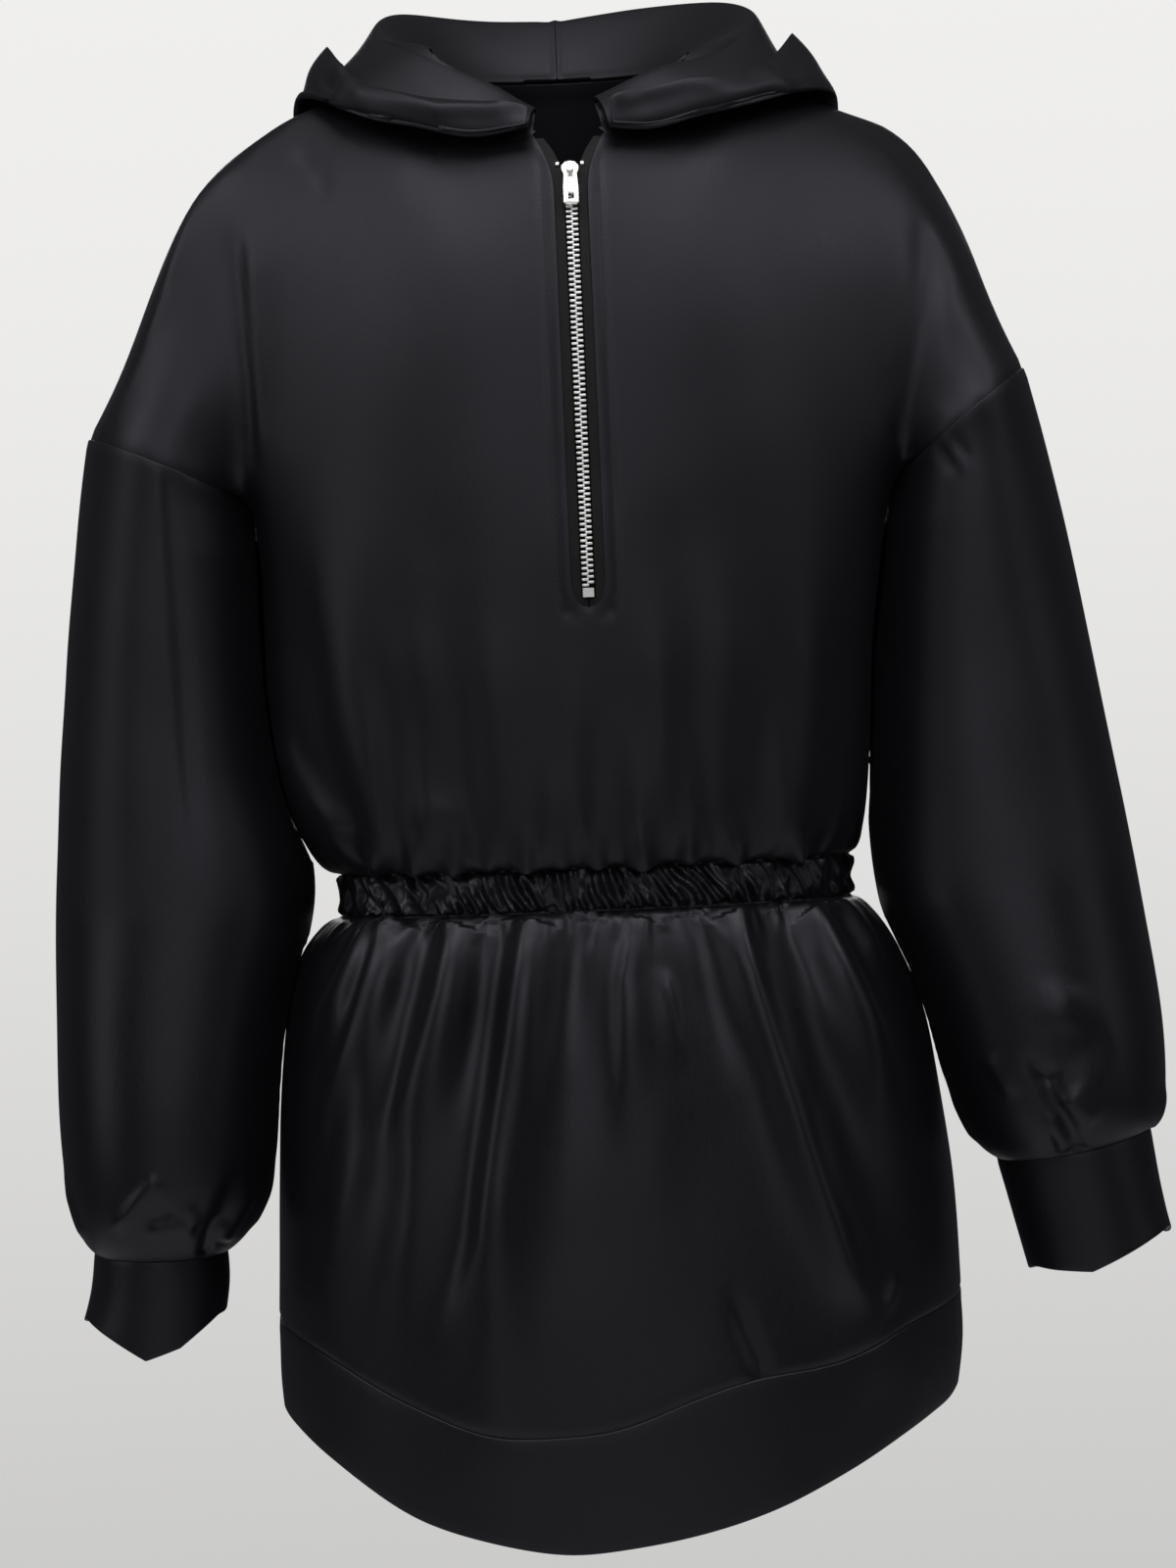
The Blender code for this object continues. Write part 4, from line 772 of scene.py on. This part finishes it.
# %% Skirt
FRONT_SKIRT_FOLDS = [
    ("front", 4.6, (5, 9), 0.0, 0.5, [(-115, -437), (-128, -462), (-141, -484), (-150, -510)]),
    ("front", 5.2, (6, 10), 0.0, 0.5, [(-104, -436), (-114, -466), (-130, -508), (-146, -545)]),
    ("front", 5.5, (8, 12), 0.0, 0.5, [(-71, -440), (-78, -474), (-94, -520), (-115, -571)]),
    ("front", 5.5, (8, 12), 0.0, 0.4,
     [(-33, -440), (-38, -470), (-49, -530), (-61, -598), (-78, -640), (-88, -660)]),
    ("front", 3.8, (6, 10), 0.0, 0.6, [(22, -440), (15, -470), (13, -520), (8, -560)]),
    ("front", 2.3, (8, 4), 0.3, 0.6, [(33, -462), (37, -490), (40, -520)]),
    ("front", 5.2, (10, 5.5), 0.0, 0.15,
     [(72, -440), (80, -476), (93, -525), (107, -575), (122, -624), (134, -647)]),
    ("front", 4.6, (10, 6), 0.0, 0.5, [(115, -440), (128, -472), (145, -510), (156, -540)]),
    ("front", 2.9, (6, 4), 0.0, 0.5, [(130, -436), (143, -458), (152, -480)]),
    ("front", -2.6, 9, 0.0, 0.7, [(-87, -438), (-98, -475), (-112, -510)]),
    ("front", -2.9, 10, 0.0, 0.6, [(-52, -438), (-60, -490), (-70, -540)]),
    ("front", -2.6, 9, 0.0, 0.7, [(-6, -438), (-14, -480), (-20, -520)]),
    ("front", -2.6, 10, 0.0, 0.6, [(50, -438), (56, -480), (66, -530)]),
    ("front", -2.3, 7, 0.0, 0.7, [(96, -438), (108, -470), (120, -500)]),
    ("front", 2.3, 3.5, 0.2, 0.2, [(148, -630), (144, -637), (140, -645)]),
    ("front", -2.6, 5, 0.5, 0.0, [(59, -622), (67, -648), (75, -669)]),
]
BACK_SKIRT_FOLDS = [
    ("back", 3.1, 8, 0.0, 0.5, [(-104, -437), (-118, -490), (-132, -540), (-140, -590)]),
    ("back", -2.6, 9, 0.0, 0.6, [(-82, -437), (-92, -490), (-100, -540)]),
    ("back", 3.1, 10, 0.0, 0.5, [(-56, -437), (-62, -500), (-72, -570), (-80, -620)]),
    ("back", -2.3, 9, 0.0, 0.6, [(-26, -437), (-28, -490), (-32, -540)]),
    ("back", 2.6, 8, 0.0, 0.6, [(2, -437), (4, -490), (0, -550)]),
    ("back", -2.3, 9, 0.0, 0.6, [(28, -437), (34, -490), (38, -550)]),
    ("back", 3.1, 9, 0.0, 0.5, [(58, -437), (68, -500), (80, -570), (92, -630)]),
    ("back", 2.6, 7, 0.0, 0.6, [(98, -437), (112, -490), (126, -540)]),
    ("left", 2.6, 8, 0.0, 0.6, [(-30, -437), (-34, -490), (-40, -550)]),
    ("left", -2.3, 8, 0.0, 0.6, [(4, -437), (6, -490), (8, -550)]),
    ("right", 2.6, 8, 0.0, 0.6, [(-26, -437), (-30, -490), (-36, -550)]),
    ("right", -2.3, 8, 0.0, 0.6, [(8, -437), (10, -490), (14, -550)]),
]


SKIRT_PLEATS, SKIRT_LONGEST = 72, 60 * MM


def skirt_shape(folds, seed):
    def shape(points, normals):
        below = CASING_LOW_Z - points[:, 2]
        pleats = gathers(points, below, SKIRT_PLEATS, seed, SKIRT_LONGEST)
        return pressed(folds, points, normals) + pleats + waves(points, 0.05, 0.6 * MM, seed)
    return shape


cloth("skirt_front", "knit", 3, skirt_shape(FRONT_SKIRT_FOLDS, 19),
      finer=(SKIRT_EDGE,))
cloth("skirt_back", "knit", 3, skirt_shape(BACK_SKIRT_FOLDS, 23),
      finer=(SKIRT_EDGE,))

# %% [markdown]
# A deep band of double cloth finishes the curved hem, and keeps it smooth and a little stiff.
# It is cut in two, with its seams at the sides, under the skirt's.

# %% Hem bands
cloth("hem_band_front", "knit_hem", 2, quiet_shape(29, 0.9 * MM))
cloth("hem_band_back", "knit_hem", 2, quiet_shape(31, 0.9 * MM))

# %% [markdown]
# The hood is two halves joined down the middle. Nobody wears it up here, so it lies back
# in a pouch, and its open edge rolls over on itself in front of the shoulders.

# %% Hood
LEFT_HOOD_FOLDS = [
    ("front", 3.2, (5, 4), 0.0, 0.1,
     [(-117, 19), (-113, 7), (-103, -2), (-86, -8), (-76, -12), (-63, -17), (-48, -18), (-20, -21)]),
    ("front", -6.0, 9, 0.15, 0.0,
     [(-124, -18), (-94, -27), (-76, -34), (-61, -38), (-46, -40), (-14, -40)]),
    ("front", -2.0, 5, 0.2, 0.3, [(-101, 13), (-87, 4), (-71, -3), (-59, -9)]),
    ("front", 2.4, (4, 3), 0.0, 0.1,
     [(-95, 30), (-81, 20), (-66, 8), (-58, 2), (-44, -6), (-30, -14), (-12, -21)]),
    ("front", 1.6, 4, 0.1, 0.3, [(-84, 59), (-83, 45), (-79, 25)]),
    ("left", -6.0, 16, 0.1, 0.3, [(-50, 8), (-10, 14), (30, 14), (60, 8)]),
]
RIGHT_HOOD_FOLDS = [
    ("front", 3.2, (4, 5), 0.0, 0.1,
     [(112, 18), (102, 7), (93, 0), (80, -7), (67, -8), (55, -11), (43, -14), (33, -18), (19, -20)]),
    ("front", -6.0, 9, 0.15, 0.0,
     [(128, -14), (104, -24), (84, -31), (66, -35), (48, -38), (20, -40)]),
    ("front", 2.2, 3, 0.0, 0.1,
     [(109, 16), (92, 11), (76, 4), (65, 1), (55, -2), (43, -8), (24, -20)]),
    ("front", 2.4, 4, 0.1, 0.2, [(107, 45), (94, 42), (86, 39), (84, 28), (75, 6)]),
    ("right", -5.0, 16, 0.1, 0.3, [(-50, 6), (-10, 12), (30, 12), (60, 6)]),
]


HOOD_STILL = 12 * MM


def hood_shape(folds, seed):
    return lambda points, normals: (pressed(folds, points, normals)
                                    + waves(points, 0.04, 0.8 * MM, seed))


cloth("hood_left", "knit", 3, hood_shape(LEFT_HOOD_FOLDS, 37),
      still=HOOD_STILL)
cloth("hood_right", "knit", 3, hood_shape(RIGHT_HOOD_FOLDS, 41),
      still=HOOD_STILL)

# %% [markdown]
# The zip's tapes lie behind the slit's edges, thin and dark so that the metal stands out.
# Tapes, stops, slider and pull tab keep their CAD shapes, with softened edges.

# %% Zip tapes, stops, slider and tab
def copy_of(name, new_name, material, body, rounding):
    """A CAD solid's shape in its own mesh, with its edges rounded by so many millimetres."""
    bm = bmesh.new()
    bm.from_mesh(frame["nodes"][name].data)
    bmesh.ops.remove_doubles(bm, verts=bm.verts, dist=WELD)
    bmesh.ops.dissolve_limit(bm, angle_limit=math.radians(1.0), verts=bm.verts, edges=bm.edges)
    mesh = bpy.data.meshes.new(new_name)
    bm.to_mesh(mesh)
    bm.free()
    mesh.materials.clear()
    mesh.materials.append(material)
    piece = bpy.data.objects.new(new_name, mesh)
    bpy.context.scene.collection.objects.link(piece)
    edge = piece.modifiers.new("Edge", "BEVEL")
    edge.width, edge.segments = rounding * MM, 2
    edge.limit_method, edge.angle_limit = "ANGLE", math.radians(35)
    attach(piece, body)
    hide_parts(name)
    return piece


for side in ("left", "right"):
    tape = copy_of(f"zip_tape_{side}", f"tape_{side}", TAPE, "garment", 0.15)
    copy_of(f"zip_top_stop_{side}", f"top_stop_{side}", METAL, "garment", 0.3)
copy_of("zip_slider", "slider", METAL, "garment", 0.25)
copy_of("zip_pull_tab", "pull_tab_metal", METAL, "pull_tab", 0.25)
copy_of("zip_bottom_stop", "bottom_stop", METAL, "garment", 0.3)
print("Zip metal and tape ready")

# %% [markdown]
# Each row has a metal tooth every 2.8 mm, and the two rows sit half a step apart,
# so the closed chain shows a tooth from either side in turn.

# %% Teeth
PITCH, TOOTH_LONG, TOOTH_HIGH, TOOTH_DEEP = 2.8 * MM, 3.5 * MM, 1.25 * MM, 1.3 * MM
FIRST_TOOTH, UNDER_SLIDER = 0.8 * MM, 9 * MM
TOOTH_PROUD, TOOTH_LAP, TOOTH_ROUNDING = 0.35 * MM, 0.45 * MM, 0.28 * MM
CHAIN_X = 0.0045
BEFORE_Y, BACKWARDS = -0.3, Vector((0.0, 1.0, 0.0))
chain_low, chain_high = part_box("zip_chain")
chain_solid = bmesh.new()
chain_solid.from_mesh(frame["nodes"]["zip_chain"].data)
chain_tree = BVHTree.FromBMesh(chain_solid)
chain_solid.free()


def on_chain(z):
    """The chain's front at a height, and its outward direction."""
    place, normal, _, _ = chain_tree.ray_cast(Vector((CHAIN_X, BEFORE_Y, z)), BACKWARDS)
    return place, normal


teeth = bmesh.new()
rows = int((chain_high.z - UNDER_SLIDER - chain_low.z) / PITCH)
for row in range(rows):
    for side in (-1, 1):
        z = chain_low.z + FIRST_TOOTH + (row + (0.5 if side > 0 else 0.0)) * PITCH
        front, outward = on_chain(z)
        across = Vector((1.0, 0.0, 0.0))
        up = outward.cross(across).normalized()
        turn = Matrix((across, -outward, up)).transposed().to_4x4()
        size = Matrix.Diagonal((TOOTH_LONG, TOOTH_DEEP, TOOTH_HIGH, 1.0))
        inset, shift = TOOTH_DEEP / 2 - TOOTH_PROUD, TOOTH_LONG / 2 - TOOTH_LAP
        middle = front - outward * inset + across * side * shift
        bmesh.ops.create_cube(teeth, size=1.0, matrix=Matrix.Translation(middle) @ turn @ size)
bmesh.ops.bevel(teeth, geom=teeth.edges[:], offset=TOOTH_ROUNDING, segments=2,
                affect="EDGES", profile=0.5, material=-1)
teeth_mesh = bpy.data.meshes.new("teeth")
teeth.to_mesh(teeth_mesh)
teeth.free()
teeth_mesh.shade_smooth()
teeth_mesh.materials.append(METAL)
chain = bpy.data.objects.new("teeth", teeth_mesh)
bpy.context.scene.collection.objects.link(chain)
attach(chain, "garment")
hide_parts("zip_chain")
print("Teeth on each side:", rows)

# %% [markdown]
# The slit's edges are turned under and topstitched, in a row each side that meets below the zip.
# Each stitch is a small grain of thread, half sunk in the groove that the row pulls into the cloth.

# %% Topstitching
STITCH_STEP, STITCH_LONG, STITCH_WIDE = 2.7 * MM, 1.9 * MM, 0.42 * MM
STITCH_LINE = [(-10.4, -50), (-10.4, -272), (-8.5, -281), (-5.0, -287), (4.5, -288.5),
               (14.0, -287), (17.5, -281), (19.4, -272), (19.4, -50)]
front_solid = bmesh.new()
front_solid.from_mesh(bpy.data.objects["bodice_front_cloth"].data)
front_tree = BVHTree.FromBMesh(front_solid)
front_solid.free()


def spaced(line, step):
    """Places along a flat line, one for each step, with the line's direction there."""
    corners = [Vector((x, z)) * MM for x, z in line]
    carry = 0.0
    for start, end in zip(corners[:-1], corners[1:]):
        length = (end - start).length
        while carry < length:
            yield start.lerp(end, carry / length), (end - start).normalized()
            carry += step
        carry -= length


threads, sewn = bmesh.new(), 0
for place, way in spaced(STITCH_LINE, STITCH_STEP):
    spot, normal, _, _ = front_tree.ray_cast(Vector((place.x, BEFORE_Y, place.y)), BACKWARDS)
    if spot is None:
        continue
    along = Vector((way.x, 0.0, way.y))
    along = (along - normal * along.dot(normal)).normalized()
    turn = Matrix((along, normal.cross(along), normal)).transposed().to_4x4()
    size = Matrix.Diagonal((STITCH_LONG / 2, STITCH_WIDE / 2, STITCH_WIDE / 2, 1.0))
    bmesh.ops.create_uvsphere(threads, u_segments=6, v_segments=4, radius=1.0,
                              matrix=Matrix.Translation(spot) @ turn @ size)
    sewn += 1
thread_mesh = bpy.data.meshes.new("topstitch")
threads.to_mesh(thread_mesh)
threads.free()
thread_mesh.shade_smooth()
thread_mesh.materials.append(THREAD)
stitches = bpy.data.objects.new("topstitch", thread_mesh)
scene = bpy.context.scene
scene.collection.objects.link(stitches)
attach(stitches, "garment")
print("Stitches:", sewn)

# %% [markdown]
# The surround is a pale studio. What the camera sees of it grows lighter upwards, as the wall does
# in the photograph, and what lights the cloth is much weaker, so that the knit stays black.

# %% Surround
scene.view_settings.view_transform = "Standard"
world = bpy.data.worlds.new("white_studio")
scene.world = world
world.use_nodes = True
sky, join = world.node_tree.nodes, world.node_tree.links.new
direction = sky.new("ShaderNodeTexCoord")
height = sky.new("ShaderNodeSeparateXYZ")
join(direction.outputs["Generated"], height.inputs["Vector"])


def surround(colour, low_z, high_z, low, high):
    """A background whose strength goes from low to high between two heights of the view direction."""
    shade = sky.new("ShaderNodeMapRange")
    shade.interpolation_type = "SMOOTHSTEP"
    for socket, value in zip(("From Min", "From Max", "To Min", "To Max"), (low_z, high_z, low, high)):
        shade.inputs[socket].default_value = value
    join(height.outputs["Z"], shade.inputs["Value"])
    back = sky.new("ShaderNodeBackground")
    back.inputs["Color"].default_value = colour
    join(shade.outputs["Result"], back.inputs["Strength"])
    return back


seen = surround((1.0, 0.992, 0.985, 1.0), -0.46, 0.26, 0.50, 0.87)
lit = surround((0.95, 0.97, 1.0, 1.0), -0.40, 0.90, 0.035, 0.070)
share = sky.new("ShaderNodeMixShader")
join(sky.new("ShaderNodeLightPath").outputs["Is Camera Ray"], share.inputs["Fac"])
join(lit.outputs["Background"], share.inputs[1])
join(seen.outputs["Background"], share.inputs[2])
join(share.outputs["Shader"], sky["World Output"].inputs["Surface"])

print("Surround nodes:", len(sky))

# %% [markdown]
# The dress hangs clear above a plain pale floor, a round one that is no part of the model.

# %% Floor
FLOOR_RADIUS, FLOOR_Z = 1.6, -1.30
floor_bm = bmesh.new()
bmesh.ops.create_circle(floor_bm, cap_ends=True, segments=96, radius=FLOOR_RADIUS,
                        matrix=Matrix.Translation((0.0, 0.0, FLOOR_Z)))
floor_mesh = bpy.data.meshes.new("floor")
floor_bm.to_mesh(floor_mesh)
floor_bm.free()
pale = Graph("pale_floor").finish(Base_Color=(0.86, 0.86, 0.87, 1.0), Roughness=0.9)
floor_mesh.materials.append(pale)
floor = bpy.data.objects.new("floor", floor_mesh)
scene.collection.objects.link(floor)

# %% [markdown]
# The light is soft: broad lamps in front and above, weaker ones at the sides and low down,
# and one behind that parts the black cloth from the wall. All of them aim at the bodice.

# %% Lamps
AIM = Vector((0.0, 0.0, -0.30))
# name, place, energy in watts, width and depth in metres
LAMPS = (
    ("front_low", (0.0, -2.3, 0.6), 7.0, 1.7, 0.7),
    ("front_high", (0.0, -1.2, 1.6), 10.6, 1.7, 0.7),
    ("ceiling", (0.0, -0.5, 1.9), 11.4, 1.8, 0.9),
    ("left_high", (-1.7, -0.9, 1.4), 8.2, 0.9, 0.9),
    ("right_high", (1.7, -0.9, 1.4), 8.6, 0.9, 0.9),
    ("left_side", (-2.0, -0.9, 0.1), 3.8, 0.8, 1.6),
    ("right_side", (2.0, -0.9, 0.1), 1.7, 0.8, 1.6),
    ("level", (0.0, -2.4, -0.3), 1.1, 1.1, 1.0),
    ("floor_glow", (0.0, -1.6, -1.1), 1.0, 2.0, 0.6),
    ("rear", (0.0, 2.2, 0.4), 10.0, 1.6, 1.0),
)
for name, place, energy, width, depth in LAMPS:
    lamp = bpy.data.lights.new(name, "AREA")
    lamp.shape = "RECTANGLE"
    lamp.energy, lamp.size, lamp.size_y = energy, width, depth
    light = bpy.data.objects.new(name, lamp)
    light.location = place
    light.rotation_euler = (AIM - Vector(place)).to_track_quat("-Z", "Y").to_euler()
    scene.collection.objects.link(light)
print("Lamps:", len(LAMPS))

# %% [markdown]
# The camera stands level with the waist and a little turned about its line of sight,
# as the photograph's was, and its picture takes in a height of 85 cm at the garment.

# %% Camera
EYE_DISTANCE, EYE_LEVEL, ROLL, FRAME_HEIGHT = 1.9, -0.37, math.radians(2.5), 0.848
lens = bpy.data.cameras.new("photo_camera")
lens.lens = lens.sensor_width * EYE_DISTANCE / FRAME_HEIGHT
camera = bpy.data.objects.new("photo_camera", lens)
camera.matrix_world = Matrix.Translation((0.0, -EYE_DISTANCE, EYE_LEVEL)) @ Matrix((
    (math.cos(ROLL), math.sin(ROLL), 0.0, 0.0), (0.0, 0.0, -1.0, 0.0),
    (-math.sin(ROLL), math.cos(ROLL), 0.0, 0.0), (0.0, 0.0, 0.0, 1.0)))
scene.collection.objects.link(camera)
scene.camera = camera
print("Lens in mm:", round(lens.lens, 1))
